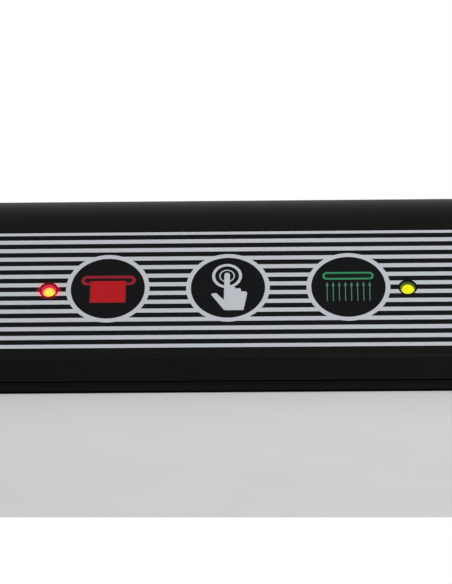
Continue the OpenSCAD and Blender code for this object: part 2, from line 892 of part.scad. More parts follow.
module fuse_link() {
    cap = 1.4;
    color([0.85, 0.86, 0.84]) at_body() {
        rod_x(fuse_x, fuse_x + fuse_w, fuse_y, pcb_top + fuse_r + 0.2, fuse_r);
        rod_x(fuse_x - cap, fuse_x, fuse_y, pcb_top + fuse_r + 0.2, fuse_r + 0.2);
        rod_x(fuse_x + fuse_w, fuse_x + fuse_w + cap, fuse_y, pcb_top + fuse_r + 0.2, fuse_r + 0.2);
    }
}

module inlet_room_section() {
    square([2 * inlet_lobe_x, 2 * inlet_lobe_r], center = true);
    for (side = [-1, 1]) translate([side * inlet_lobe_x, 0]) circle(inlet_lobe_r);
}

module mains_inlet() {
    room_y = body_depth - inlet_room;
    color(inner_black) at_body() difference() {
        union() {
            block(
                inlet_x - inlet_half + 1.1, inlet_x + inlet_half - 1.1,
                body_depth - wall - 1, body_depth, inlet_z - inlet_h + 1.1, inlet_z + inlet_h - 1.1
            );
            block(
                inlet_x - inlet_half, inlet_x + inlet_half,
                body_depth - inlet_depth, body_depth - wall - 0.1, inlet_z - inlet_h, inlet_z + inlet_h
            );
        }
        translate([inlet_x, body_depth + 1, inlet_z]) rotate([90, 0, 0])
            linear_extrude(inlet_room + 1) inlet_room_section();
        for (side = [-1, 1])
            rod_y(inlet_x + side * inlet_pin_x, room_y - 5, room_y + 1, inlet_z, inlet_pin_r + 0.01);
    }
}

module inlet_pins() {
    room_y = body_depth - inlet_room;
    color(brass) at_body() for (side = [-1, 1]) {
        rod_y(inlet_x + side * inlet_pin_x, room_y - 5, body_depth - 3, inlet_z, inlet_pin_r);
        translate([inlet_x + side * inlet_pin_x, body_depth - 3, inlet_z]) sphere(inlet_pin_r);
    }
}

module lid_switch() {
    color(inner_black) at_body() difference() {
        union() {
            block(switch_x0, switch_x1, switch_y0, switch_y1, switch_z0, switch_z1);
            for (y = [switch_y0, switch_y1 - 1.2])
                block(switch_x0 + 0.6, switch_x0 + 3.4, y, y + 1.2, switch_z1 - eps, lever_pivot_z + 0.6);
            block(switch_x0 + 5, switch_x1 - 5, switch_y0, switch_y1, floor_z, switch_z0);
            rod_z(switch_x0 + 8, (switch_y0 + switch_y1) / 2, switch_z1 - eps, switch_button_z, 1.2);
        }
        rod_y(lever_pivot_x, switch_y0 - 1, switch_y1 + 1, lever_pivot_z, 0.55);
    }
}

module switch_lever() {
    y0 = switch_y0 + 1.5;
    y1 = switch_y1 - 1.5;
    color(steel) at_body() {
        rod_y(lever_pivot_x, switch_y0 + 0.1, switch_y1 - 0.1, lever_pivot_z, 0.5);
        block(lever_pivot_x, lever_end_x, y0, y1, lever_pivot_z - 0.2, lever_pivot_z + 0.2);
        rod_y(lever_end_x, y0, y1, roller_z, roller_r);
    }
}

module thermal_cutout() {
    color([0.9, 0.9, 0.88]) at_body() block(
        cutout_x, cutout_x + cutout_w, house_in + 0.1, house_in + 0.1 + cutout_d,
        cutout_z, cutout_z + cutout_h
    );
}

module base_wiring() {
    wire_r = 0.6;
    color([0.7, 0.1, 0.08]) at_body() {
        wire([
            [motor_x0 - 4.6, motor_y - tag_y, motor_z], [motor_x0 - 9, motor_y - tag_y, motor_z],
            [motor_x0 - 12, motor_y - tag_y, 10], [pcb_x1 + 1, motor_y - tag_y, pcb_z0 + 0.8]
        ], wire_r);
        wire([
            [motor_x0 - 4.6, motor_y + tag_y, motor_z], [motor_x0 - 9, motor_y + tag_y, motor_z],
            [motor_x0 - 12, motor_y + tag_y, 10], [pcb_x1 + 1, motor_y + tag_y, pcb_z0 + 0.8]
        ], wire_r);
        rod_x(valve_x + coil_r - 1, switch_x0, valve_y - 3, 20, wire_r);
    }
}

// Lid

module lid_shell() {
    color(casing_black) at_body() difference() {
        union() {
            intersection() {
                difference() {
                    body_solid(0);
                    body_solid(wall);
                }
                above_parting();
            }
            intersection() {
                union() {
                    both_ends() for (x = liner_screw_xs)
                        rod_z(x, liner_screw_y, liner_z + liner_skin, body_h, liner_boss_r);
                    both_ends() latch_guides();
                    for (x = [switch_x1 - 3.4, switch_x1 + 1])
                        block(x, x + 1.6, switch_y0, switch_y1, rib_bottom, body_h);
                    block(
                        switch_x1 - 3.4, switch_x1 + 2.6, switch_y0 + 2.4, switch_y0 + 4,
                        rib_bottom, body_h
                    );
                }
                body_solid(wall / 2);
            }
            on_panel() both_ends() for (y = board_screw_ys)
                rod_z(board_screw_x, y, board_top, -wall / 2, 2.4);
            both_ends() lid_knuckle();
        }
        both_ends() for (x = [hinge_x - hinge_half, hinge_x + lid_knuckle_half + knuckle_gap])
            rod_x(
                x - knuckle_gap, x + base_knuckle_w + knuckle_gap,
                hinge_y, hinge_z, knuckle_r + knuckle_gap
            );
        both_ends() {
            rod_x(hinge_x - 8, hinge_x + 8, hinge_y, hinge_z, pin_r + 0.06);
            for (x = liner_screw_xs) rod_z(x, liner_screw_y, liner_z, liner_z + 9, 1.05);
            block(
                half_w - wall - 1, half_w + 1, button_y0 - gap, button_y1 + gap,
                button_z0 - gap, button_z1 + gap
            );
        }
        on_panel() {
            both_ends() for (y = board_screw_ys) rod_z(board_screw_x, y, board_top - 1, -2.4, 0.85);
            label_plate(-label_sink, 1, 0.15);
            both_ends() {
                rod_z(lamp_x, lamp_y, -9, lamp_lip_z, lamp_hole_d / 2);
                rod_z(lamp_x, lamp_y, -9, 1, lamp_lip_r);
            }
        }
    }
}

module lid_knuckle() {
    x0 = hinge_x - lid_knuckle_half;
    x1 = hinge_x + lid_knuckle_half;
    rod_x(x0, x1, hinge_y, hinge_z, knuckle_r);
    block(x0, x1, body_depth - 0.5, hinge_y, hinge_z, hinge_z + knuckle_r);
}

// Rails, shelf and spring seat of one release button
module latch_guides() {
    top = body_h;
    for (y = [button_y0 - gap - rail_t, button_y1 + gap])
        block(rib_x, half_w - wall / 2, y, y + rail_t, button_z0 - 0.6, top);
    block(rib_x, rib_x + rail_t, button_y0 - gap - rail_t, button_y1 + gap + rail_t, button_z0 - 0.6, top);
    block(
        half_w - wall - 2, half_w - wall / 2, button_y0 - gap - rail_t, button_y1 + gap + rail_t,
        button_z0 - gap - 1.2, button_z0 - gap
    );
}

module label_plate(z0, z1, play) {
    x0 = label_shift - label_w / 2 - play;
    translate([0, 0, z0]) linear_extrude(z1 - z0) rounded(
        x0, x0 + label_w + 2 * play, label_up_y - play, label_up_y + label_h + play, label_corner
    );
}

module control_label() {
    color([0.08, 0.08, 0.1]) at_body() on_panel() difference() {
        label_plate(-label_sink, -label_sink + label_t, 0);
        both_ends() rod_z(lamp_x, lamp_y, -2, 2, lamp_hole_d / 2);
    }
}

module touch_board() {
    color(board_green) at_body() on_panel() difference() {
        block(-board_half, board_half, board_y0, board_y1, board_bottom, board_top);
        both_ends() for (y = board_screw_ys) rod_z(board_screw_x, y, -12, 0, 1.1);
    }
}

module touch_board_screws() {
    color(steel) at_body() on_panel() both_ends() for (y = board_screw_ys)
        screw_up(board_screw_x, y, board_bottom, board_screw_len, 0.8, 1.7, 0.9);
}

module control_chip() {
    color([0.1, 0.1, 0.1]) at_body() on_panel() {
        mid_block(chip_x, 0, chip_w, chip_d, board_bottom - chip_t, board_bottom);
        mid_block(-chip_x - 7, board_y0 * 0.45, chip_w + 2, chip_d - 2, board_bottom - 2, board_bottom);
    }
}

module touch_pads() {
    color([0.3, 0.3, 0.32]) at_body() on_panel() for (x = [-icon_pitch, 0, icon_pitch])
        rod_z(x, 0, board_top, -wall, touch_pad_r);
}

module lamp(x) {
    on_panel() {
        rod_z(x, lamp_y, board_top, lamp_tip - lamp_r, lamp_r);
        rod_z(x, lamp_y, board_top, board_top + 1, lamp_r + 0.4);
        translate([x, lamp_y, lamp_tip - lamp_r]) sphere(lamp_r);
    }
}

module red_lamp() {
    color([0.85, 0.12, 0.08]) at_body() lamp(-lamp_x);
}

module green_lamp() {
    color([0.75, 0.9, 0.1]) at_body() lamp(lamp_x);
}

module lid_liner() {
    slope_z = front_edge_z - (wall + 0.55) / cos(panel_slope);
    color(inner_black) at_body() difference() {
        along_x(-liner_half, liner_half) polygon([
            [liner_y0, liner_z - 2.6], [liner_y0, slope_z + liner_y0 * tan(panel_slope)],
            [(liner_top - slope_z) / tan(panel_slope), liner_top],
            [liner_y1 - liner_skin, liner_top], [liner_y1 - liner_skin, liner_wall_top],
            [liner_y1, liner_wall_top], [liner_y1, liner_z], [6.8, liner_z]
        ]);
        block(
            -pad_half - 0.2, pad_half + 0.2, channel_y0 - 0.1, channel_y1 + 0.1,
            liner_z - 3, pad_top
        );
        gasket_ring(liner_z - 1, upper_gasket_top, groove_play);
        block(
            -liner_half + 8, liner_half - 8, trough_y0 + 0.5, trough_y1 - 0.5,
            liner_z + liner_skin, liner_top + 1
        );
        both_ends() for (x = liner_screw_xs) rod_z(x, liner_screw_y, 0, liner_top, 1.4);
    }
}

module liner_screws() {
    color(steel) at_body() both_ends() for (x = liner_screw_xs)
        screw_up(x, liner_screw_y, liner_z, liner_screw_len, 1, 2.2, 1.1);
}

module sealing_pad() {
    color([0.5, 0.14, 0.1]) at_body()
        block(-pad_half, pad_half, channel_y0, channel_y1, pad_z0, pad_top);
}

module upper_gasket() {
    color(rubber_black) at_body() gasket_ring(upper_gasket_z0, upper_gasket_top, 0);
}

// Release button with its hook, drawn for the right end
module button() {
    arm_x = button_in;
    color(casing_black) difference() {
        union() {
            block(button_in, half_w + button_out, button_y0, button_y1, button_z0, button_z1);
            block(
                arm_x, arm_x + arm_w, button_y0 + arm_inset, button_y1 - arm_inset,
                nose_top - nose_h, button_z0 + 1
            );
            translate([0, button_y1 - arm_inset, 0]) rotate([90, 0, 0])
                linear_extrude(button_y1 - button_y0 - 2 * arm_inset) polygon([
                    [arm_x + 1, nose_top], [nose_x, nose_top],
                    [nose_x - nose_h, nose_top - nose_h], [arm_x + 1, nose_top - nose_h]
                ]);
        }
        rod_x(button_in - 1, spring_end + 0.05, spring_y, spring_z, spring_r + 0.15);
        translate([half_w + button_out + 11, spring_y, spring_z])
            sphere(11.6, $fn = 64);
    }
}

module button_spring() {
    color(steel) difference() {
        rod_x(rib_x + rail_t, spring_end, spring_y, spring_z, spring_r);
        rod_x(rib_x, spring_end + 1, spring_y, spring_z, spring_r - spring_wire);
    }
}

module button_right() {
    at_body() button();
}

module button_left() {
    at_body() mirror([1, 0, 0]) button();
}

module button_spring_right() {
    at_body() button_spring();
}

module button_spring_left() {
    at_body() mirror([1, 0, 0]) button_spring();
}

lower_casing();
base_deck();
rubber_feet();
casing_screws();
hinge_pins();
heat_bar();
heating_ribbon();
ribbon_terminals();
ptfe_tape();
lower_gasket();
pump_motor();
motor_end_cap();
pump_crank();
pump_head();
pump_diaphragm();
pump_head_cover();
pump_strap();
pump_tube();
valve_body();
valve_coil();
valve_plunger();
valve_spring();
valve_tube();
power_board();
transformer();
main_capacitor();
heater_relay();
fuse_link();
board_screws();
mains_inlet();
inlet_pins();
lid_switch();
switch_lever();
base_wiring();
thermal_cutout();
lid_shell();
control_label();
touch_board();
control_chip();
touch_pads();
red_lamp();
green_lamp();
touch_board_screws();
lid_liner();
liner_screws();
sealing_pad();
upper_gasket();
button_left();
button_right();
button_spring_left();
button_spring_right();
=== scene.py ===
"""Vacuum sealer finish: rounded mouldings, printed label, lit lamps, foam seals, springs and materials.

Lengths are metres, +Z up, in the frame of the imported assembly. Each operator makes one piece or one
group of like pieces; the panel in the sidebar lists them in working order.
"""

import json
import math
from collections import Counter
from functools import partial, partialmethod

import bmesh
import bpy
import numpy as np
from mathutils import Euler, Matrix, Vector


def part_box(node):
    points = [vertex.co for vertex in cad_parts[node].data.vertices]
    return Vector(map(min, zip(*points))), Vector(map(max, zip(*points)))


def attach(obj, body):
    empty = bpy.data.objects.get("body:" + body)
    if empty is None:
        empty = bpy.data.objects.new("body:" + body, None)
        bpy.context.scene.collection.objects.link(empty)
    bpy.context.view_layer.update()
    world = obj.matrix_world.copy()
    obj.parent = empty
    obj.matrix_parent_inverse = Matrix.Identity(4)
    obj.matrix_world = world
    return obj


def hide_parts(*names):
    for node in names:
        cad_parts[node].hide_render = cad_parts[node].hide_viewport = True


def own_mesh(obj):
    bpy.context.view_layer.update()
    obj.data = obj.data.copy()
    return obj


bl_info = {
    "name": "Vacuum Sealer Finish",
    "version": (1, 0, 0),
    "blender": (4, 5, 0),
    "location": "3D View > Sidebar > Sealer",
    "description": "Mouldings, label print, lamps, seals, springs and finishes of a bar-type vacuum sealer",
    "category": "Object",
}

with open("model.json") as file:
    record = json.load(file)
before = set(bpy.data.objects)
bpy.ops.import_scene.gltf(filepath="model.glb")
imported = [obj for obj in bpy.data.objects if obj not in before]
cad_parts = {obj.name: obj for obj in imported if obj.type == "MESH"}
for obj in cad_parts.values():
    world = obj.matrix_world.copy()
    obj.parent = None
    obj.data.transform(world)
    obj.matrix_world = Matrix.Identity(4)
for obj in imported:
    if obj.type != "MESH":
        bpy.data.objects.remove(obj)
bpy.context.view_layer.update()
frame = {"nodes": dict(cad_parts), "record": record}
NODES = frame["nodes"]
SLOT_OF = {part["node"]: part["material_slot"] for part in frame["record"]["subparts"]}
BODY_OF = {node: body for body, nodes in frame["record"]["behaviour"]["bodies"].items() for node in nodes}

MM = 0.001
WELD = 1e-7  # points of a made piece closer than this are one point
JOIN = 2e-6  # corners of a CAD node's triangles closer than this are one point
CREASE = math.radians(38)  # an edge of a made piece that turns further is shown sharp
CORNER = math.radians(28)  # an edge of a CAD node that turns further is a corner, and may be rounded
FLAT = math.radians(0.6)  # faces of a CAD node that turn by less belong to one flat
STRIP = 2.5  # a face narrower than this many roundings keeps its sharp edges


# --- Sizes and colours -------------------------------------------------------------------------


def length(name, description, default):
    """Property for a size in metres."""
    return bpy.props.FloatProperty(
        name=name, description=description, default=default, min=0.0, max=0.5,
        unit="LENGTH", subtype="DISTANCE", precision=5,
    )


def colour(name, description, default):
    """Property for a colour, or for a light's colour."""
    return bpy.props.FloatVectorProperty(
        name=name, description=description, default=default, min=0.0, max=1.0, size=3, subtype="COLOR"
    )


class SealerSizes(bpy.types.PropertyGroup):
    """Sizes of the label, the lamps, the rounded edges and the springs"""

    panel_slope: bpy.props.FloatProperty(
        name="Panel slope", description="Angle of the control panel above the horizontal",
        default=math.radians(46.0), unit="ROTATION", subtype="ANGLE",
    )
    icon_centre: bpy.props.FloatVectorProperty(
        name="Icon centre", description="Middle of the middle icon, on the panel's surface",
        default=(0.0, -0.016026, 0.027452), size=3, unit="LENGTH", subtype="TRANSLATION",
    )
    label_sink: length("Label depth", "How far the film lies below the panel", 0.10 * MM)
    ink: length("Ink thickness", "Thickness of the printed layers", 0.03 * MM)
    label_left: length("Label left", "Distance of the label's left end from the middle", 67.6 * MM)
    label_right: length("Label right", "Distance of the label's right end from the middle", 65.4 * MM)
    label_top: length("Label top", "Distance of the label's upper edge from the icons", 20.08 * MM)
    label_bottom: length("Label bottom", "Distance of the label's lower edge from the icons", 20.76 * MM)
    stripe_pitch: length("Stripe pitch", "Distance from stripe to stripe", 3.078 * MM)
    stripe_width: length("Stripe width", "Width of a silver stripe", 1.41 * MM)
    stripe_count: bpy.props.IntProperty(name="Stripes", description="Number of silver stripes", default=14)
    stripe_drop: length("Stripe drop", "How far the stripes' middle lies below the icons", 0.198 * MM)
    icon_pitch: length("Icon pitch", "Distance from icon to icon", 34.36 * MM)
    disc_radius: length("Disc radius", "Radius of the black discs", 10.6 * MM)
    ring_radius: length("Ring radius", "Outer radius of the silver rings", 11.95 * MM)
    lamp_x: length("Lamp distance", "Distance of each lamp from the middle", 51.25 * MM)
    lamp_drop: length("Lamp drop", "How far the lamps lie below the icons' middle", 0.4 * MM)
    lamp_gap: length("Lamp gap", "Radius about each lamp that the stripes leave free", 2.72 * MM)
    lamp_tip: length("Lamp tip", "Depth of the lamps' tips below the panel", 0.3 * MM)
    lid_edge: length("Lid edge", "Width of the rounding on the lid's edges", 0.40 * MM)
    lip_edge: length("Casing edge", "Width of the rounding on the lower casing's edges", 0.12 * MM)
    inner_edge: length("Inner edge", "Width of the rounding on the inner mouldings", 0.25 * MM)
    wire: length("Spring wire", "Radius of the spring wire", 0.25 * MM)
    grain: length("Moulding grain", "Size of the texture on moulded plastic", 0.35 * MM)


class SealerColours(bpy.types.PropertyGroup):
    """Colours of the casing, the inks, the lamps and the floor"""

    casing: colour("Casing", "Black plastic of the lid and base", (0.0036, 0.0036, 0.0035))
    film: colour("Label film", "Black film of the label", (0.0026, 0.0028, 0.0037))
    silver: colour("Silver ink", "Stripes, rings and the hand", (0.422, 0.440, 0.470))
    red_ink: colour("Red ink", "Bag of the seal icon", (0.375, 0.003, 0.006))
    dark_red_ink: colour("Dark red ink", "Bar and bag's edge of the seal icon", (0.225, 0.007, 0.018))
    green_ink: colour("Green ink", "Bar of the vacuum icon", (0.026, 0.205, 0.091))
    grey_green_ink: colour("Grey green ink", "Arrows of the vacuum icon", (0.064, 0.172, 0.120))
    red_glow: colour("Red lamp", "Light of the seal lamp in its hole", (0.72, 0.030, 0.065))
    red_core: colour("Red lamp core", "Middle of the seal lamp", (0.88, 0.83, 0.06))
    green_glow: colour("Green lamp", "Light of the ready lamp in its hole", (0.055, 0.115, 0.028))
    green_core: colour("Green lamp core", "Middle of the ready lamp", (0.80, 0.76, 0.0))
    floor: colour("Floor", "Table under the sealer", (0.60, 0.60, 0.605))


# --- Shapes ------------------------------------------------------------------------------------


def tube(name, points, loop=False, caps=True, smooth=True):
    """Skin through rings of points, an array of shape (items, rings, ring points, 3).

    Quad (i, j) joins ring i to ring i + 1 and ring point j to j + 1. Points are counted round, and so
    are rings that form a loop; otherwise one face closes each item's first ring and its last. Where
    two items touch, the pair of faces between them is left out.
    """
    points = np.asarray(points, float)
    if points.ndim == 3:
        points = points[None]
    items, rings, around, _ = points.shape
    index = np.arange(items * rings * around).reshape(items, rings, around)
    following = np.roll(index, -1, axis=1) if loop else index[:, 1:]
    here = index if loop else index[:, :-1]
    quads = np.stack(
        [here, np.roll(here, -1, axis=2), np.roll(following, -1, axis=2), following], axis=-1
    ).reshape(-1, 4)
    faces = quads.tolist()
    if caps and not loop:
        faces += index[:, 0, ::-1].tolist() + index[:, -1].tolist()
    points = points.reshape(-1, 3)
    place = np.unique(np.round(points / WELD), axis=0, return_inverse=True)[1].ravel()
    corners = [frozenset(place[face]) for face in faces]
    uses = Counter(corners)
    faces = [face for face, key in zip(faces, corners) if uses[key] == 1]
    mesh = bpy.data.meshes.new(name)
    mesh.from_pydata(points, [], faces)
    work = bmesh.new()
    work.from_mesh(mesh)
    bmesh.ops.remove_doubles(work, verts=work.verts, dist=WELD)
    bmesh.ops.recalc_face_normals(work, faces=work.faces)
    work.to_mesh(mesh)
    work.free()
    if smooth:
        mesh.shade_smooth()
        mesh.set_sharp_from_angle(angle=CREASE)
    piece = bpy.data.objects.new(name, mesh)
    bpy.context.scene.collection.objects.link(piece)
    return piece


def lathe(name, profile, origin, axis, around=48):
    """Surface of revolution: each (radius, height) of the profile turns about the axis through origin.

    A profile may have shape (points, 2); origins of shape (items, 3) repeat it. Radius zero is a pole.
    """
    profile = np.asarray(profile, float)
    origin = np.atleast_2d(np.asarray(origin, float))
    axis = np.asarray(axis, float) / np.linalg.norm(axis)
    side = np.cross(axis, [1.0, 0.0, 0.0] if abs(axis[0]) < 0.9 else [0.0, 1.0, 0.0])
    side /= np.linalg.norm(side)
    other = np.cross(axis, side)
    turn = np.linspace(0, 2 * np.pi, around, endpoint=False)
    spoke = np.cos(turn)[:, None] * side + np.sin(turn)[:, None] * other
    ring = profile[:, 0, None, None] * spoke + profile[:, 1, None, None] * axis
    return tube(name, origin[:, None, None, :] + ring[None])


def fillets(corners, radii, steps=8):
    """Closed outline with arcs in its corners, computed for all corners at once.

    Each arc touches both sides at r / tan(half the corner's angle); its points turn from one touching
    point to the other about the arc's centre by spherical interpolation.
    """
    corners = np.asarray(corners, float)
    radii = np.broadcast_to(np.asarray(radii, float), (len(corners),))[:, None]
    back = np.roll(corners, 1, axis=0) - corners
    ahead = np.roll(corners, -1, axis=0) - corners
    back /= np.linalg.norm(back, axis=1, keepdims=True)
    ahead /= np.linalg.norm(ahead, axis=1, keepdims=True)
    half = np.arccos(np.clip((back * ahead).sum(1), -1, 1))[:, None] / 2
    middle = back + ahead
    middle /= np.linalg.norm(middle, axis=1, keepdims=True)
    centre = corners + middle * radii / np.sin(half)
    reach = radii / np.tan(half)
    first = corners + back * reach - centre
    last = corners + ahead * reach - centre
    sweep = (np.pi - 2 * half)[:, :, None]
    t = np.linspace(0, 1, steps)[None, :, None]
    arc = (np.sin((1 - t) * sweep) * first[:, None] + np.sin(t * sweep) * last[:, None]) / np.sin(sweep)
    return (centre[:, None] + arc).reshape(-1, 2)


def stadium(left, right, top, bottom, radius, steps=10):
    """Rectangle with an arc in each corner, as an outline of points. Its sizes are in millimetres."""
    corners = np.array([(left, top), (right, top), (right, bottom), (left, bottom)])
    return fillets(corners * MM, radius * MM, steps)


def circle(x, y, radius, count=72):
    """Points at even angles a about (x, y): x + r cos a, y + r sin a. Its sizes are in millimetres."""
    turn = np.linspace(0, 2 * np.pi, count, endpoint=False)
    spoke = np.stack([np.cos(turn), np.sin(turn)], axis=1)
    return np.array([x, y]) * MM + radius * MM * spoke


def superellipse(width, height, count, power):
    """Closed section: x = w/2 sgn(c)|c|^(2/p), y = h/2 sgn(s)|s|^(2/p), c and s cosine and sine."""
    t = np.linspace(0, 2 * np.pi, count, endpoint=False)
    c, s = np.cos(t), np.sin(t)
    x = width / 2 * np.sign(c) * np.abs(c) ** (2 / power)
    y = height / 2 * np.sign(s) * np.abs(s) ** (2 / power)
    return np.stack([x, y], axis=1)


def on_panel(x, up, out):
    """Points given along the control panel, up its slope and out of it, as points of the frame.

    The pair (up, out) is turned by the slope a to y = up cos a - out sin a, z = up sin a + out cos a,
    and the middle icon's centre is added.
    """
    sizes = bpy.context.scene.sealer_sizes
    cosine, sine = math.cos(sizes.panel_slope), math.sin(sizes.panel_slope)
    x, up, out = np.broadcast_arrays(x, up, out)
    turned = np.stack([x, up * cosine - out * sine, up * sine + out * cosine], axis=-1)
    return turned + np.array(sizes.icon_centre)


def panel_normal():
    """Direction out of the panel, of length one."""
    return on_panel(0, 0, 1.0) - on_panel(0, 0, 0.0)


def box_of(node):
    """The node's lowest and highest corner."""
    low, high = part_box(node)
    return np.array(low), np.array(high)


def dressed(node, width, segments=2, least_area=12e-6):
    """Copy of a CAD node with its triangles joined into flats and its long edges given a small rounding.

    An edge is rounded where its two faces turn by more than CORNER, both are larger than the least
    area, and both are wider than STRIP roundings, so that fine features keep their form.
    """
    mesh = NODES[node].data.copy()
    work = bmesh.new()
    work.from_mesh(mesh)
    bmesh.ops.remove_doubles(work, verts=work.verts, dist=JOIN)
    bmesh.ops.dissolve_limit(
        work, angle_limit=FLAT, use_dissolve_boundaries=False, verts=work.verts, edges=work.edges
    )
    weights = work.edges.layers.float.new("bevel_weight_edge")
    for edge in work.edges:
        faces = edge.link_faces
        if len(faces) == 2 and edge.calc_face_angle(0.0) > CORNER:
            area = min(faces[0].calc_area(), faces[1].calc_area())
            if area > least_area and area > STRIP * width * edge.calc_length():
                edge[weights] = 1.0
    work.to_mesh(mesh)
    work.free()
    custom = mesh.attributes.get("custom_normal")
    if custom:
        mesh.attributes.remove(custom)
    mesh.shade_smooth()
    mesh.set_sharp_from_angle(angle=CORNER)
    piece = bpy.data.objects.new(node + "_finished", mesh)
    bpy.context.scene.collection.objects.link(piece)
    rounding = piece.modifiers.new("Rounded edges", "BEVEL")
    rounding.width = width
    rounding.segments = segments
    rounding.limit_method = "WEIGHT"
    rounding.use_clamp_overlap = False
    rounding.harden_normals = True
    rounding.miter_outer = "MITER_SHARP"
    keep(piece, node)


def keep(piece, node):
    """The piece stands for the node, rides on its body and takes its slot and finish."""
    slot = SLOT_OF[node]
    piece.data.materials.clear()
    piece.data.materials.append(finish_of(slot))
    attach(piece, BODY_OF[node])
    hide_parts(node)
    return piece


def add_print(piece, ink):
    """Printed layer: it takes its ink, rides on the lid and stands for no node."""
    piece.data.materials.append(ink)
    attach(piece, "lid")


# --- Shader arithmetic -------------------------------------------------------------------------


class Wire:
    """A value in a shader tree. Arithmetic on it adds Math nodes; numbers alone stay in Python."""

    def __init__(self, finish, socket):
        self.finish = finish
        self.socket = socket

    def apply(self, operation, *others):
        """Result of a Math node on this value and the others."""
        values = dict(enumerate((self, *others)))
        return self.finish.node("ShaderNodeMath", {"operation": operation}, values)

    def __rsub__(self, other):
        return self.finish.node("ShaderNodeMath", {"operation": "SUBTRACT"}, {0: other, 1: self})

    __add__ = __radd__ = partialmethod(apply, "ADD")
    __sub__ = partialmethod(apply, "SUBTRACT")
    __mul__ = __rmul__ = partialmethod(apply, "MULTIPLY")
    __truediv__ = partialmethod(apply, "DIVIDE")
    __pow__ = partialmethod(apply, "POWER")
    __lt__ = partialmethod(apply, "LESS_THAN")
    __gt__ = partialmethod(apply, "GREATER_THAN")
    __abs__ = partialmethod(apply, "ABSOLUTE")
    sin = partialmethod(apply, "SINE")
    fraction = partialmethod(apply, "FRACT")
    most = partialmethod(apply, "MAXIMUM")

    def smooth(self, low, high, start=0.0, end=1.0):
        """Smooth step from start to end as the value goes from low to high."""
        return self.finish.node(
            "ShaderNodeMapRange", {"interpolation_type": "SMOOTHSTEP"},
            {"Value": self, "From Min": low, "From Max": high, "To Min": start, "To Max": end},
        )


class Finish:
    """One material with a Principled shader, or the world. node() adds every other node."""

    def __init__(self, name, world=None, **constants):
        self.material = bpy.data.materials.new(name) if world is None else world
        self.material.use_nodes = True
        self.tree = self.material.node_tree
        self.tree.nodes.clear()
        kind = "ShaderNodeOutputMaterial" if world is None else "ShaderNodeOutputWorld"
        self.output = self.tree.nodes.new(kind)
        if world is None:
            self.shader = self.tree.nodes.new("ShaderNodeBsdfPrincipled")
            self.show(Wire(self, self.shader.outputs[0]))
            self.set(**constants)

    @staticmethod
    def find(sockets, key):
        """The socket of that number, identifier or name."""
        if isinstance(key, int):
            return sockets[key]
        return next((s for s in sockets if s.identifier == key), None) or sockets[key]

    def plug(self, node, key, value):
        """Links a value to the node's input, or sets it there; a colour of three numbers is opaque."""
        socket = self.find(node.inputs, key)
        if isinstance(value, Wire):
            self.tree.links.new(value.socket, socket)
        elif hasattr(value, "__len__") and len(value) < len(socket.default_value):
            socket.default_value = (*value, 1.0)
        else:
            socket.default_value = value

    def node(self, kind, settings=None, inputs=None, output=0):
        """New node of that type, with its settings set first, then its inputs; returns its output."""
        node = self.tree.nodes.new(kind)
        for name, value in (settings or {}).items():
            setattr(node, name, value)
        for key, value in (inputs or {}).items():
            self.plug(node, key, value)
        return Wire(self, self.find(node.outputs, output))

    def show(self, surface):
        """Makes the value what the material or the world shows."""
        self.tree.links.new(surface.socket, self.output.inputs["Surface"])

    def set(self, **values):
        """Sets the shader's sockets, named in lower case with underscores."""
        names = {s.name.lower().replace(" ", "_"): s.name for s in self.shader.inputs}
        for key, value in values.items():
            self.plug(self.shader, names[key], value)

    def place(self, scale=(1, 1, 1), shift=(0, 0, 0)):
        """Object coordinates, scaled and moved."""
        where = self.node("ShaderNodeTexCoord", output="Object")
        return self.node(
            "ShaderNodeMapping", {"vector_type": "POINT"},
            {"Vector": where, "Location": shift, "Scale": scale},
        )

    def parts(self, vector):
        """The vector's x, y and z."""
        split = self.node("ShaderNodeSeparateXYZ", inputs={"Vector": vector})
        return [Wire(self, socket) for socket in split.socket.node.outputs]

    def distance(self, point):
        """Distance of the surface from a point of the frame."""
        where = self.node("ShaderNodeTexCoord", output="Object")
        return self.node(
            "ShaderNodeVectorMath", {"operation": "DISTANCE"}, {0: where, 1: tuple(point)}, output="Value"
        )

    def noise(self, size, detail=3.0, stretch=(1, 1, 1)):
        """Cloudy noise of that size, from 0 to 1; a larger stretch makes it finer along that axis."""
        return self.node(
            "ShaderNodeTexNoise",
            inputs={"Vector": self.place(stretch), "Scale": 1.0 / size, "Detail": detail, "Roughness": 0.55},
        )

    def cells(self, size, feature="F1", stretch=(1, 1, 1)):
        """Irregular cells of that size: distance from their middles, or from their edges."""
        return self.node(
            "ShaderNodeTexVoronoi", {"feature": feature}, {"Vector": self.place(stretch), "Scale": 1.0 / size}
        )

    def mix(self, share, first, second):
        """Colour that goes from the first to the second as the share goes from 0 to 1."""
        return self.node(
            "ShaderNodeMix", {"data_type": "RGBA"},
            {"Factor_Float": share, "A_Color": first, "B_Color": second}, output="Result_Color",
        )

    def scale(self, tint, amount):
        """Colour times an amount."""
        return self.node("ShaderNodeVectorMath", {"operation": "SCALE"}, {0: tint, "Scale": amount})

    def bump(self, height, distance, strength=1.0):
        """Normal of a surface raised by the height times the distance."""
        return self.node(
            "ShaderNodeBump", inputs={"Height": height, "Distance": distance, "Strength": strength}
        )


# --- Finishes, one for each material slot -------------------------------------------------------


def moulded(name, tint, size, rough, depth, level):
    """Moulded plastic: a fine grain in bump and roughness over a faint, wide mottle of the colour."""
    f = Finish(name, specular_ior_level=level)
    grain = f.noise(size, detail=2.0)
    mottle = f.noise(size * 60, detail=2.0)
    f.set(
        base_color=f.scale(tint, mottle.smooth(0.2, 0.8, 0.85, 1.15)),
        roughness=rough + (grain - 0.5) * 0.06 + (mottle - 0.5) * 0.04,
        normal=f.bump(grain, depth, 0.6),
    )
    return f


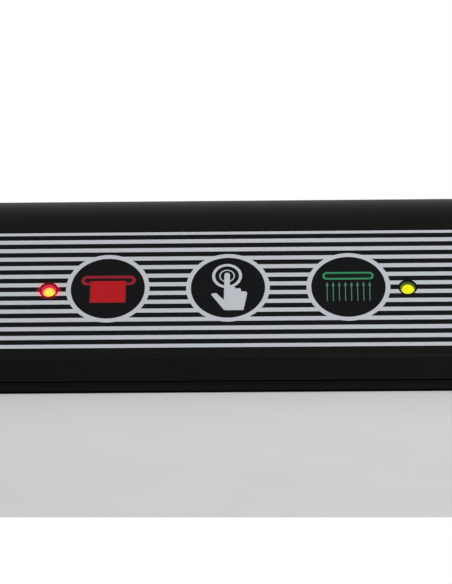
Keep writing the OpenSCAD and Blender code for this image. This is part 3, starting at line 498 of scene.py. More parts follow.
def light_holes(f):
    """Glow on the walls of the lamp holes: full near the lens, dim at the rim and none on the panel.

    The distance is counted from a point on the lamp's axis, deep enough to part the wall from the panel.
    """
    colours, sizes = bpy.context.scene.sealer_colours, bpy.context.scene.sealer_sizes
    depth, wall_end, rim_start, rim_end, dark = (v * MM for v in (1.6, 2.3, 2.62, 2.8, 3.1))
    glow = (0.0, 0.0, 0.0)
    for side, near, rim in (
        (-1, colours.red_glow, (0.16, 0.0, 0.001)),
        (1, colours.green_glow, (0.001, 0.003, 0.0)),
    ):
        far = f.distance(on_panel(side * sizes.lamp_x, -sizes.lamp_drop, -depth))
        wall = f.mix(far.smooth(wall_end, rim_start), tuple(near), rim)
        glow = f.mix(far.smooth(rim_end, dark), wall, glow)
    f.set(emission_color=glow, emission_strength=1.0)


def metal(name, tint, rough, stretch, size, worn):
    """Drawn or rolled metal: streaks along one axis in roughness and bump, and faint dull patches."""
    f = Finish(name, metallic=1.0)
    streak = f.noise(size, detail=4.0, stretch=stretch)
    patch = f.noise(size * 6, detail=3.0)
    f.set(
        base_color=f.scale(tint, patch.smooth(0.3, 0.7, 1.0 - worn, 1.0)),
        roughness=rough + (streak - 0.5) * 0.16 + (patch - 0.5) * 0.08,
        normal=f.bump(streak, 0.004 * MM, 0.5),
    )
    return f


def casing_plastic():
    """Black moulded plastic, lit inside the two lamp holes."""
    colours, sizes = bpy.context.scene.sealer_colours, bpy.context.scene.sealer_sizes
    f = moulded("casing_plastic", tuple(colours.casing), sizes.grain, 0.42, 0.010 * MM, 0.10)
    light_holes(f)
    return f


def foot_rubber():
    """Moulded rubber: fine darker specks and a fine grain."""
    f = Finish("foot_rubber", specular_ior_level=0.25)
    speck = f.cells(0.5 * MM)
    f.set(
        base_color=f.mix(speck.smooth(0.1, 0.5), (0.018, 0.018, 0.017), (0.009, 0.009, 0.009)),
        roughness=0.78 + (speck - 0.5) * 0.1, normal=f.bump(f.noise(0.3 * MM), 0.03 * MM),
    )
    return f


def foam_rubber():
    """Closed-cell foam: rounded pits of two sizes, with painted shade in the pits."""
    f = Finish("foam_rubber", specular_ior_level=0.2)
    pits, small = f.cells(0.42 * MM, "SMOOTH_F1"), f.cells(0.17 * MM)
    height = pits * 0.7 + small * 0.3
    f.set(
        # painted shade: the colour darkens where the foam's surface lies low
        base_color=f.mix(height.smooth(0.15, 0.6), (0.030, 0.030, 0.031), (0.010, 0.010, 0.010)),
        roughness=0.9 - small * 0.12, normal=f.bump(1 - height, 0.09 * MM),
    )
    return f


def seal_silicone():
    """Heat-proof silicone strip: the print of a fine cloth in bump, and soft clouds of two reds."""
    f = Finish("seal_silicone", specular_ior_level=0.4, subsurface_weight=0.15, subsurface_scale=0.002)
    x, y, _z = f.parts(f.place())
    pitch = 2 * math.pi / (0.8 * MM)
    weave = (x * pitch).sin() * (y * pitch).sin()
    cloud = f.noise(6 * MM, detail=3.0)
    f.set(
        base_color=f.mix(cloud, (0.23, 0.030, 0.020), (0.30, 0.045, 0.030)),
        roughness=0.5 + (cloud - 0.5) * 0.2, normal=f.bump(weave, 0.012 * MM, 0.6),
    )
    return f


def tube_silicone():
    """Milky tube: soft clouds of two pale tints."""
    f = Finish("tube_silicone", specular_ior_level=0.5, subsurface_weight=0.4, subsurface_scale=0.003)
    cloud = f.noise(2 * MM)
    f.set(
        base_color=f.mix(cloud, (0.58, 0.59, 0.56), (0.70, 0.70, 0.67)),
        roughness=0.32 + (cloud - 0.5) * 0.2, normal=f.bump(f.noise(0.4 * MM), 0.008 * MM),
    )
    return f


def bar_resin():
    """Glass-filled resin bar: long pale fibres in a brown ground."""
    f = Finish("bar_resin", specular_ior_level=0.4)
    fibre = f.noise(1.0 * MM, detail=5.0, stretch=(0.06, 1, 1))
    f.set(
        base_color=f.mix(fibre.smooth(0.35, 0.65), (0.30, 0.20, 0.09), (0.46, 0.35, 0.19)),
        roughness=0.48 + (fibre - 0.5) * 0.2, normal=f.bump(fibre, 0.02 * MM, 0.7),
    )
    return f


def ptfe_cloth():
    """Coated glass cloth: over-and-under weave under a slightly glossy brown coat."""
    f = Finish("ptfe_cloth", specular_ior_level=0.45)
    x, y, _z = f.parts(f.place())
    pitch = 2 * math.pi / (0.62 * MM)
    weave = (x * pitch).sin() * (y * pitch).sin()
    stain = f.noise(9 * MM, detail=4.0)
    tint = f.mix(weave.smooth(-0.8, 0.8), (0.20, 0.105, 0.040), (0.32, 0.19, 0.085))
    f.set(
        base_color=f.mix(stain.smooth(0.5, 0.8, 0.0, 0.5), tint, (0.15, 0.075, 0.03)),
        roughness=0.40 + (stain - 0.5) * 0.2, normal=f.bump(weave, 0.03 * MM, 0.8),
    )
    return f


def motor_steel():
    """Plated motor can: streaks run round the can, with a dull rolled seam along it."""
    f = Finish("motor_steel", metallic=1.0)
    _x, _y, z = f.parts(f.place())
    streak = f.noise(0.5 * MM, detail=4.0, stretch=(14, 1, 1))
    seam_height, seam_half = 15.5 * MM, 0.25 * MM
    seam = abs(z - seam_height) < seam_half
    patch = f.noise(5 * MM)
    tint = f.mix(seam, (0.62, 0.63, 0.65), (0.32, 0.32, 0.33))
    f.set(
        base_color=f.scale(tint, patch.smooth(0.3, 0.7, 0.9, 1.0)),
        roughness=0.28 + (streak - 0.5) * 0.2, normal=f.bump(streak, 0.004 * MM, 0.5),
    )
    return f


def coil_copper():
    """Enamelled winding: turns of wire across the coil's height, shade painted between them, and a varnish
    stain.
    """
    f = Finish("coil_copper", coat_weight=0.5, coat_roughness=0.15, metallic=1.0)
    _x, _y, z = f.parts(f.place())
    wire = 0.34 * MM
    turns = abs((z * (math.pi / wire)).sin())
    stain = f.noise(2 * MM, detail=4.0)
    crown = f.mix(stain, (0.62, 0.21, 0.075), (0.50, 0.15, 0.05))
    f.set(
        # painted shade: the colour darkens in the grooves between the turns
        base_color=f.mix(turns.smooth(0.0, 0.9), (0.20, 0.045, 0.015), crown),
        roughness=0.34 - turns * 0.1, normal=f.bump(turns, 0.12 * MM, 0.8),
    )
    return f


def board_laminate():
    """Circuit board: green mask, paler copper tracks between cells, small bright pads, fine glass weave."""
    f = Finish("board_laminate", specular_ior_level=0.5)
    edge = f.cells(4.2 * MM, "DISTANCE_TO_EDGE", stretch=(1, 1.2, 1))
    track = edge.smooth(0.035, 0.05, 1.0, 0.0)
    pad = f.cells(3.0 * MM).smooth(0.16, 0.19, 1.0, 0.0)
    x, y, _z = f.parts(f.place())
    thread = 9000  # radians a metre: threads 0.35 mm apart
    weave = (x * thread).sin() * (y * thread).sin()
    green = f.mix(track, (0.012, 0.10, 0.030), (0.030, 0.19, 0.060))
    f.set(
        base_color=f.mix(pad, green, (0.55, 0.50, 0.38)), metallic=pad * 0.8,
        roughness=0.34 + weave * 0.03,
        normal=f.bump(track * 0.8 + pad + weave * 0.05, 0.035 * MM, 0.8),
    )
    return f


def transformer_tape():
    """Yellow polyester tape: laps across the height, each with a darker, raised edge."""
    f = Finish("transformer_tape", specular_ior_level=0.5)
    _x, _y, z = f.parts(f.place())
    lap = (z / (2.2 * MM)).fraction()
    cloud = f.noise(3 * MM)
    tape = f.mix(cloud, (0.62, 0.42, 0.04), (0.70, 0.50, 0.07))
    f.set(
        base_color=f.mix(lap.smooth(0.86, 0.98), tape, (0.36, 0.22, 0.02)),
        roughness=0.26 + (cloud - 0.5) * 0.14, normal=f.bump(lap, 0.05 * MM, 0.7),
    )
    return f


def capacitor_sleeve():
    """Shrink sleeve, dark blue with a pale stripe down one side, over a bare rolled top."""
    low, high = box_of("main_capacitor")
    middle = (low + high) / 2
    f = Finish("capacitor_sleeve", specular_ior_level=0.5)
    x, y, z = f.parts(f.place(shift=tuple(-middle)))
    stripe = (x < -4.1 * MM) * (abs(y) < 2.8 * MM)
    crown = high[2] - middle[2]
    top = z.smooth(crown - 0.6 * MM, crown - 0.4 * MM)
    cloud = f.noise(2.5 * MM)
    sleeve = f.mix(stripe, f.mix(cloud, (0.012, 0.022, 0.10), (0.018, 0.030, 0.13)), (0.42, 0.44, 0.50))
    f.set(
        base_color=f.mix(top, sleeve, (0.60, 0.60, 0.61)), metallic=top,
        roughness=0.30 + (cloud - 0.5) * 0.12, normal=f.bump(f.noise(0.8 * MM), 0.02 * MM, 0.5),
    )
    return f


def fuse_glass():
    """Glass fuse between two plated caps, told apart along its length, with the wire as a dark line."""
    low, high = box_of("fuse_link")
    middle = (low + high) / 2
    f = Finish("fuse_glass", specular_ior_level=0.5)
    x, y, _z = f.parts(f.place(shift=tuple(-middle)))
    cap = abs(x) > (high[0] - low[0]) / 2 - 1.45 * MM
    thread = (abs(y) < 0.15 * MM) * (abs(x) < 6 * MM)
    glass = f.mix(thread, (0.66, 0.70, 0.69), (0.12, 0.12, 0.12))
    f.set(
        base_color=f.mix(cap, glass, (0.62, 0.62, 0.63)),
        metallic=cap, roughness=0.10 + cap * 0.2, normal=f.bump(f.noise(1.0 * MM), 0.006 * MM, 0.4),
    )
    return f


def red_halo(f):
    """Share of the red lamp's light on the label: 1 at the hole's edge, falling to 0 over 2 mm.

    The distance is the root of x x + 1.5 up up from a point just below the lamp, so that the halo is
    wider than it is high.
    """
    sizes = bpy.context.scene.sealer_sizes
    below, full, gone = 0.2 * MM, 2.5 * MM, 4.5 * MM
    centre = on_panel(-sizes.lamp_x, -sizes.lamp_drop - below, 0.0)
    slope = (0.0, math.cos(sizes.panel_slope), math.sin(sizes.panel_slope))
    offset = f.place(shift=tuple(-centre))
    up = f.node("ShaderNodeVectorMath", {"operation": "DOT_PRODUCT"}, {0: offset, 1: slope}, output="Value")
    x, _y, _z = f.parts(offset)
    far = (x * x + up * up * 1.5) ** 0.5
    return far.smooth(full, gone, 1.0, 0.0)


def printed(name, tint, rough, level, cloud_depth=0.08):
    """Screen-printed ink or film: a slight cloud in the colour and a fine stipple in the gloss."""
    f = Finish(name, specular_ior_level=level)
    cloud, stipple = f.noise(14 * MM, detail=2.0), f.noise(0.16 * MM, detail=1.0)
    f.set(
        base_color=f.scale(tint, cloud.smooth(0.25, 0.75, 1 - cloud_depth, 1 + cloud_depth)),
        roughness=rough + (stipple - 0.5) * 0.08, normal=f.bump(stipple, 0.002 * MM, 0.5),
    )
    return f


def label_film():
    """Black film, with the red lamp's light fading quickly round the lamp."""
    f = printed("label_film", tuple(bpy.context.scene.sealer_colours.film), 0.40, 0.12, 0.12)
    f.set(emission_color=f.scale((0.34, 0.003, 0.02), red_halo(f) ** 2.5), emission_strength=1.0)
    return f


def silver_ink():
    """Silver ink, slightly green and slightly violet in turn along the stripes, and lit by the red lamp."""
    tint = np.array(bpy.context.scene.sealer_colours.silver)
    f = Finish("silver_ink", specular_ior_level=0.25)
    drift = f.noise(11 * MM, detail=2.0, stretch=(0.5, 1, 1))
    stipple = f.noise(0.12 * MM, detail=1.0)
    halo = red_halo(f)
    greener, redder = tuple(tint * (0.98, 1.01, 0.99)), tuple(tint * (1.02, 0.98, 1.02))
    ink = f.mix(drift.smooth(0.3, 0.7), greener, redder)
    f.set(
        base_color=f.mix(halo * 0.85, ink, (0.45, 0.20, 0.22)),
        roughness=0.46 + (stipple - 0.5) * 0.1, normal=f.bump(stipple, 0.002 * MM, 0.5),
        emission_color=f.scale((0.55, 0.01, 0.01), halo), emission_strength=1.0,
    )
    return f


def lamp_finish(name, side, shift, drop, core, rim, edge):
    """Lit lens: the core colour about its bright spot, then a rim, then the dimmer edge in the hole."""
    sizes = bpy.context.scene.sealer_sizes
    core_end, rim_start, rim_end, edge_start = 0.7 * MM, 1.7 * MM, 1.75 * MM, 2.15 * MM
    spot = on_panel(side * sizes.lamp_x + shift, -sizes.lamp_drop - drop, -sizes.lamp_tip)
    f = Finish(name, specular_ior_level=0.1, roughness=0.4)
    far = f.distance(spot)
    ripple = f.noise(0.6 * MM)
    edge_share = far.smooth(rim_end, edge_start)
    tint = f.mix(edge_share, f.mix(far.smooth(core_end, rim_start), core, rim), edge)
    f.set(
        base_color=f.scale(edge, 0.5), emission_color=f.scale(tint, ripple.smooth(0.2, 0.8, 0.95, 1.05)),
        emission_strength=1.0, normal=f.bump(ripple, 0.01 * MM, 0.3),
    )
    return f


def lamp_red():
    """Seal lamp, yellow in its middle and red round it."""
    colours = bpy.context.scene.sealer_colours
    return lamp_finish(
        "lamp_red", -1, 0.2 * MM, 0.8 * MM,
        tuple(colours.red_core), (0.94, 0.52, 0.06), tuple(colours.red_glow),
    )


def lamp_green():
    """Ready lamp, yellow in its middle and olive round it."""
    colours = bpy.context.scene.sealer_colours
    return lamp_finish(
        "lamp_green", 1, 0.12 * MM, 0.45 * MM,
        tuple(colours.green_core), (0.74, 0.80, 0.03), (0.20, 0.18, 0.0),
    )


PLASTICS = {  # tint, size of the grain, roughness, depth of the grain, specular level
    "inner_plastic": ((0.011, 0.011, 0.012), 0.5 * MM, 0.52, 0.02 * MM, 0.3),
    "button_plastic": ((0.007, 0.007, 0.007), 0.3 * MM, 0.38, 0.006 * MM, 0.3),
    "pump_plastic": ((0.66, 0.66, 0.63), 0.4 * MM, 0.45, 0.01 * MM, 0.45),
    "relay_case": ((0.010, 0.045, 0.20), 0.6 * MM, 0.33, 0.006 * MM, 0.5),
    "wire_red": ((0.38, 0.010, 0.008), 0.5 * MM, 0.36, 0.006 * MM, 0.45),
    "chip_black": ((0.012, 0.012, 0.012), 0.18 * MM, 0.6, 0.02 * MM, 0.35),
}

METALS = {  # tint, roughness, stretch of the streaks, their size, darkening of the dull patches
    "steel": ((0.60, 0.61, 0.63), 0.30, (1, 1, 8), 0.7 * MM, 0.12),
    "spring_steel": ((0.48, 0.48, 0.50), 0.24, (6, 6, 6), 0.5 * MM, 0.12),
    "brass": ((0.70, 0.48, 0.17), 0.27, (8, 1, 8), 0.9 * MM, 0.25),
    "ribbon_metal": ((0.42, 0.40, 0.38), 0.34, (0.05, 1, 1), 0.25 * MM, 0.3),
}

FINISHES = {
    **{slot: partial(moulded, slot, *values) for slot, values in PLASTICS.items()},
    **{slot: partial(metal, slot, *values) for slot, values in METALS.items()},
    **{
        make.__name__: make
        for make in (
            casing_plastic, foot_rubber, foam_rubber, seal_silicone, tube_silicone, bar_resin, ptfe_cloth,
            motor_steel, coil_copper, board_laminate, transformer_tape, capacitor_sleeve, fuse_glass,
            label_film, lamp_red, lamp_green,
        )
    },
}

MADE = {}


def finish_of(slot):
    """The slot's material, made once."""
    if slot not in MADE:
        MADE[slot] = FINISHES[slot]().material
    return MADE[slot]


# --- Operators ---------------------------------------------------------------------------------


class SEALER_OT_mouldings(bpy.types.Operator):
    """Round the edges of the lid, the casing, the bed, the liner, the inlet and the buttons"""

    bl_idname = "sealer.mouldings"
    bl_label = "Mouldings"

    def execute(self, context):
        sizes = context.scene.sealer_sizes
        dressed("lid_shell", sizes.lid_edge, segments=3)
        dressed("lower_casing", sizes.lip_edge)
        for node in ("base_deck", "lid_liner", "mains_inlet"):
            dressed(node, sizes.inner_edge)
        for node in ("button_left", "button_right"):
            dressed(node, sizes.lid_edge, segments=3, least_area=4e-6)
        return {"FINISHED"}


class SEALER_OT_label(bpy.types.Operator):
    """Print the silver stripes and the three rings on the label film"""

    bl_idname = "sealer.label"
    bl_label = "Label print"

    def execute(self, context):
        sizes = context.scene.sealer_sizes
        ink = silver_ink().material
        add_print(self.stripes(sizes), ink)
        add_print(self.rings(sizes), ink)
        return {"FINISHED"}

    @staticmethod
    def stripes(sizes, rows=13):
        """Stripes, each cut by the circles and by the label's rounded ends.

        At s down the panel a stripe's parts run from X[j] + h[j](s) to X[j + 1] - h[j + 1](s), where the
        half chord is h = sqrt(R R - (s - S)(s - S)), and at both ends the inset of the label's corners.
        """
        icon, lamp = sizes.icon_pitch, sizes.lamp_x
        centre = np.array([-sizes.label_left, -lamp, -icon, 0, icon, lamp, sizes.label_right])
        drop = np.array([0, sizes.lamp_drop, 0, 0, 0, sizes.lamp_drop, 0])
        middle = (sizes.disc_radius + sizes.ring_radius) / 2
        radius = np.array([0, sizes.lamp_gap, middle, middle, middle, sizes.lamp_gap, 0])
        order = np.arange(sizes.stripe_count)
        at = sizes.stripe_drop + (order - (sizes.stripe_count - 1) / 2) * sizes.stripe_pitch
        low = np.maximum(at - sizes.stripe_width / 2, -sizes.label_top)
        high = np.minimum(at + sizes.stripe_width / 2, sizes.label_bottom)
        s = low[:, None] + (high - low)[:, None] * np.linspace(0, 1, rows)
        chord = np.sqrt(np.maximum(radius ** 2 - (s[..., None] - drop) ** 2, 0))
        corner = 1.0 * MM
        inside = np.minimum(s + sizes.label_top, sizes.label_bottom - s)
        inset = corner - np.sqrt(np.maximum(corner ** 2 - np.maximum(corner - inside, 0) ** 2, 0))
        chord[..., 0] = chord[..., -1] = inset
        x0 = centre[:-1] + chord[..., :-1]
        x1 = centre[1:] - chord[..., 1:]
        x = np.stack([x0, x1, x1, x0], axis=-1)
        bottom = -sizes.label_sink
        out = np.broadcast_to([bottom + sizes.ink, bottom + sizes.ink, bottom, bottom], x.shape)
        points = on_panel(x, -s[..., None, None], out)
        points = points.transpose(0, 2, 1, 3, 4).reshape(-1, rows, 4, 3)
        return tube("label_stripes", points, smooth=False)

    @staticmethod
    def rings(sizes, around=160):
        """Flat rings: the four corners of a thin section are carried round each circle."""
        turn = np.linspace(0, 2 * np.pi, around, endpoint=False)
        radius = np.array([sizes.disc_radius, sizes.ring_radius, sizes.ring_radius, sizes.disc_radius])
        top = -sizes.label_sink + sizes.ink * 1.15
        out = np.array([top, top, -sizes.label_sink, -sizes.label_sink])
        centre = np.array([-1, 0, 1])[:, None, None] * sizes.icon_pitch
        x = centre + np.cos(turn)[:, None] * radius
        up = np.sin(turn)[:, None] * radius
        return tube("label_rings", on_panel(x, up, out), loop=True, smooth=False)


def plate(name, outline, x, thick):
    """Thin flat plate of ink: two copies of the outline, one on the film and one above it, joined.

    The outline's first value counts to the right and its second down the panel from (x, 0).
    """
    out = -bpy.context.scene.sealer_sizes.label_sink + np.array([0.0, thick])[:, None]
    return tube(name, on_panel(outline[None, :, 0] + x, -outline[None, :, 1], out), smooth=False)


def band(name, outer, inner, x, thick):
    """Thin flat band of ink: the corners of a flat section follow two outlines of equally many points."""
    outline = np.stack([inner, outer, outer, inner], axis=1)
    out = -bpy.context.scene.sealer_sizes.label_sink + np.array([thick, thick, 0.0, 0.0])
    return tube(name, on_panel(outline[..., 0] + x, -outline[..., 1], out), loop=True, smooth=False)


class SEALER_OT_icons(bpy.types.Operator):
    """Print the seal icon, the touch icon and the vacuum icon on their discs"""

    bl_idname = "sealer.icons"
    bl_label = "Icons"

    def execute(self, context):
        ink, pitch = context.scene.sealer_sizes.ink, context.scene.sealer_sizes.icon_pitch
        self.seal_icon(-pitch, ink)
        self.touch_icon(0.0, ink)
        self.vacuum_icon(pitch, ink)
        return {"FINISHED"}

    @staticmethod
    def inks(*names):
        """Inks whose colours are among the sealer's colours."""
        colours = bpy.context.scene.sealer_colours
        return [printed(name, tuple(getattr(colours, name)), 0.45, 0.2).material for name in names]

    def seal_icon(self, x, ink):
        """A bag that hangs from the slot of a sealing bar."""
        red, dark = self.inks("red_ink", "dark_red_ink")
        slot = printed("slot_ink", (0.012, 0.001, 0.002), 0.45, 0.15).material
        outer = stadium(-7.67, 7.88, -4.52, -1.14, 1.65)
        inner = stadium(-6.75, 6.96, -3.6, -2.05, 0.75)
        bag = stadium(-5.1, 5.2, -2.6, 5.04, 0.12, 3)
        face = stadium(-4.78, 4.88, -2.6, 4.72, 0.1, 3)
        add_print(band("seal_icon_bar", outer, inner, x, ink), dark)
        add_print(plate("seal_icon_slot", inner, x, ink * 0.8), slot)
        add_print(plate("seal_icon_bag", bag, x, ink * 1.3), dark)
        add_print(plate("seal_icon_bag_face", face, x, ink * 1.6), red)

    @staticmethod
    def touch_icon(x, ink):
        """A hand whose finger points into two rings: an outline with a radius at each corner.

        Corners count right and down from the icon's middle, in millimetres as the radii are.
        """
        silver = bpy.data.materials["silver_ink"]
        tip_x, tip_y = -0.29, -4.12
        for name, outside, inside in (
            ("touch_icon_ring_outer", 4.28, 3.42),
            ("touch_icon_ring_inner", 2.22, 1.88),
        ):
            outer, inner = (circle(tip_x, tip_y, radius) for radius in (outside, inside))
            add_print(band(name, outer, inner, x, ink), silver)
        corners = np.array([
            (-1.05, -5.24), (0.53, -5.24), (0.55, -0.35), (1.0, -0.2), (2.1, -0.2), (2.28, 0.75),
            (2.5, 0.3), (3.65, 0.3), (3.82, 1.67), (4.05, 1.42), (5.5, 1.42), (5.42, 2.6), (4.45, 7.95),
            (-1.0, 7.95), (-4.98, 2.2), (-3.35, 1.9), (-1.12, 4.4),
        ])
        radii = np.array([
            0.75, 0.75, 0.1, 0.2, 0.5, 0.08, 0.15, 0.5, 0.08, 0.15, 0.6, 0.6, 0.2, 0.25, 0.35, 0.5, 0.15
        ])
        add_print(plate("touch_icon_hand", fillets(corners * MM, radii * MM, 7), x, ink * 1.3), silver)

    def vacuum_icon(self, x, ink):
        """Arrows of air under the slot of a bar."""
        green, grey = self.inks("green_ink", "grey_green_ink")
        tint = printed("green_tint_ink", (0.0008, 0.006, 0.0015), 0.45, 0.15).material
        outer = stadium(-7.36, 7.30, -5.20, -2.50, 1.32)
        inner = stadium(-6.76, 6.70, -4.60, -3.10, 0.73)
        add_print(band("vacuum_icon_bar", outer, inner, x, ink), green)
        add_print(plate("vacuum_icon_slot", inner, x, ink * 0.8), tint)
        add_print(self.arrows(x, ink), grey)

    @staticmethod
    def arrows(x, ink, count=8, pitch=1.735, first=-6.07):
        """Up-arrows: one seven-point outline repeated at an even pitch, in millimetres."""
        half = np.array([(0, -1.71), (0.45, -0.3), (0.125, -0.35), (0.125, 5.0)])
        outline = np.concatenate([half, half[:0:-1] * (-1, 1)]) * MM
        along = x + (np.arange(count)[:, None, None] * pitch + first) * MM + outline[None, None, :, 0]
        out = -bpy.context.scene.sealer_sizes.label_sink + np.array([0.0, ink])[None, :, None]
        points = on_panel(along, -outline[None, None, :, 1], out)
        return tube("vacuum_icon_arrows", points, smooth=False)


class SEALER_OT_lamps(bpy.types.Operator):
    """Turn the two domed lamps"""

    bl_idname = "sealer.lamps"
    bl_label = "Lamps"

    def execute(self, context):
        sizes = context.scene.sealer_sizes
        bend = np.linspace(0, np.pi / 2, 16)
        radius = 2.5 * MM
        height = radius * np.sin(bend) - radius - sizes.lamp_tip
        dome = np.stack([radius * np.cos(bend), height], axis=1)
        flange = [(0, -6.5), (2.7, -6.5), (2.9, -6.4), (2.9, -5.6), (2.7, -5.5), (2.5, -5.5)]
        profile = np.concatenate([np.array(flange) * MM, dome])
        for side, node in ((-1, "red_lamp"), (1, "green_lamp")):
            foot = on_panel(side * sizes.lamp_x, -sizes.lamp_drop, 0.0)
            keep(lathe(node + "_dome", profile, foot, panel_normal()), node)
        return {"FINISHED"}


def racetrack(node):
    """Gasket: a superelliptic section carried round a rounded rectangle that follows the node's box.

    The path's straight runs are cut into equal steps, and each step's section stands square to the
    line between its neighbours.
    """
    low, high = box_of(node)
    wide, radius, step, clearance = 2.6 * MM, 2.7 * MM, 5 * MM, 0.04 * MM
    left, front = low[:2] + wide / 2
    right, back = high[:2] - wide / 2
    path = fillets([(left, front), (right, front), (right, back), (left, back)], radius, 14)
    runs = np.roll(path, -1, axis=0) - path
    count = np.maximum(1, np.round(np.linalg.norm(runs, axis=1) / step).astype(int))
    start = np.repeat(np.arange(len(path)), count)
    done = np.arange(count.sum()) - np.repeat(np.cumsum(count) - count, count)
    line = path[start] + runs[start] * (done / count[start])[:, None]
    along = np.roll(line, -1, axis=0) - np.roll(line, 1, axis=0)
    along /= np.linalg.norm(along, axis=1, keepdims=True)
    side = np.stack([along[:, 1], -along[:, 0]], axis=1)
    section = superellipse(wide - clearance, high[2] - low[2], 20, 4.0)
    flat = line[:, None] + side[:, None] * section[None, :, :1]
    level = np.broadcast_to((low[2] + high[2]) / 2 + section[None, :, 1:], (*flat.shape[:2], 1))
    return tube(node + "_foam", np.concatenate([flat, level], axis=-1), loop=True)


class SEALER_OT_seals(bpy.types.Operator):
    """Make the two foam gaskets and the silicone sealing pad"""

    bl_idname = "sealer.seals"
    bl_label = "Seals"

    def execute(self, context):
        for node in ("lower_gasket", "upper_gasket"):
            keep(racetrack(node), node)
        keep(self.pad("sealing_pad"), "sealing_pad")
        return {"FINISHED"}

    @staticmethod
    def pad(node):
        """Strip with a rounded section along x; the section shrinks as a quarter ellipse at both ends."""
        low, high = box_of(node)
        middle, size = (low + high) / 2, high - low
        end = 0.5 * MM
        t = np.linspace(-np.pi / 2, 0, 6)
        tip = low[0] + end + end * np.sin(t)
        body = np.linspace(low[0] + end, high[0] - end, 64)[1:-1]
        x = np.concatenate([tip, body, -tip[::-1] + low[0] + high[0]])
        full = np.concatenate([np.cos(t), np.ones(len(body)), np.cos(t)[::-1]])
        section = superellipse(size[1], size[2], 28, 6.0)
        less = (1 - full)[:, None] * end * 0.9
        y = middle[1] + section[None, :, 0] * (1 - less / (size[1] / 2))
        z = middle[2] + section[None, :, 1] * (1 - less / (size[2] / 2))
        return tube(node + "_strip", np.stack([np.broadcast_to(x[:, None], y.shape), y, z], axis=-1))


def helix(low, high, axis, radius, wire, turns, steps=28, around=10):
    """Coil spring between two heights: a wire circle carried along a helix with closed ends.

    The centre line is axis * h(t) + radius (cos t, sin t). At each end h rises by one wire over the
    first three quarters of a turn, so that the end turns nearly touch.
    """
    t = np.linspace(0, 2 * np.pi * turns, int(turns * steps))
    lead = 2 * np.pi * 0.75
    span = t[-1]
    one_wire, touching = 2 * wire / (high - low), 0.98
    rise = np.clip((t - lead) / (span - 2 * lead), 0, 1) * (1 - 2 * one_wire)
    for along in (t, t - span + lead):
        rise = rise + np.clip(along / lead, 0, 1) * one_wire * touching
    h = low + wire + (high - low - 2 * wire) * (rise - rise[0]) / (rise[-1] - rise[0])
    side = np.array([0.0, 1.0, 0.0])
    other = np.cross(axis, side)
    spoke = np.cos(t)[:, None] * side + np.sin(t)[:, None] * other
    line = axis * h[:, None] + radius * spoke
    turn = np.linspace(0, 2 * np.pi, around, endpoint=False)
    ring = np.cos(turn)[:, None] * spoke[:, None] + np.sin(turn)[:, None] * axis
    return line[:, None] + wire * ring


class SEALER_OT_springs(bpy.types.Operator):
    """Wind the two button springs and the valve spring"""

    bl_idname = "sealer.springs"
    bl_label = "Springs"

    def execute(self, context):
        wire = context.scene.sealer_sizes.wire
        for node, joint, travel, turns, thickness, axis, end in (
            ("button_spring_left", "left_release", 2.5 * MM, 8, wire, 0, "high"),
            ("button_spring_right", "right_release", 2.5 * MM, 8, wire, 0, "low"),
            ("valve_spring", "valve_lift", 1.5 * MM, 5.5, wire * 0.8, 2, "high"),
        ):
            self.wind(node, joint, travel, turns, thickness, axis, end)
        return {"FINISHED"}

    @staticmethod
    def wind(node, joint, travel, turns, wire, axis, end):
        """Coil along the axis of the node's box, from one end of the box to the other."""
        low, high = box_of(node)
        radius = (high[1] - low[1]) / 2 - wire
        direction = np.eye(3)[axis]
        foot = (low + high) / 2 * (1 - direction)
        points = foot + helix(low[axis], high[axis], direction, radius, wire, turns)
        coil = keep(tube(node + "_coil", points), node)
        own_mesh(coil)


class SEALER_OT_turned(bpy.types.Operator):
    """Turn the rubber feet and the touch pads"""

    bl_idname = "sealer.turned"
    bl_label = "Feet and pads"

    def execute(self, context):
        self.feet("rubber_feet")
        self.pads("touch_pads", context.scene.sealer_sizes.icon_pitch)
        return {"FINISHED"}

    @staticmethod
    def feet(node):
        """Four feet with a hollow under each, turned at the corners of the node's box."""
        low, high = box_of(node)
        radius, tall, chamfer = 5.0 * MM, high[2] - low[2], 0.15 * MM
        sole = [(0, 0.25), (2.6, 0.22), (3.1, 0.03), (3.5, 0), (4.5, 0), (4.85, 0.12), (5.0, 0.4)]
        rim = [(radius, tall - chamfer), (radius - chamfer, tall), (0, tall)]
        xs, ys = (low[0] + radius, high[0] - radius), (low[1] + radius, high[1] - radius)
        spots = [(x, y, low[2]) for x in xs for y in ys]
        profile = np.concatenate([np.array(sole) * MM, rim])
        keep(lathe(node + "_turned", profile, spots, (0, 0, 1)), node)

    @staticmethod
    def pads(node, pitch):
        """Three waisted pads of rubber, turned square to the panel under the icons."""
        depth = 6.5 * MM
        profile = [
            (0, 0.02), (6.8, 0.02), (7.0, 0.2), (6.75, 1.1), (6.7, 2.2), (6.75, 3.4), (7.0, 4.3),
            (6.8, 4.48), (0, 4.48),
        ]
        centres = on_panel(np.array([-1, 0, 1]) * pitch, 0.0, -depth)
        keep(lathe(node + "_turned", np.array(profile) * MM, centres, panel_normal()), node)


class SEALER_OT_fittings(bpy.types.Operator):
    """Give every other part of the assembly the finish of its slot"""

    bl_idname = "sealer.fittings"
    bl_label = "Fittings"

    def execute(self, context):
        for name, node in NODES.items():
            if not node.hide_render:
                node.data.materials.clear()
                node.data.materials.append(finish_of(SLOT_OF[name]))
        return {"FINISHED"}


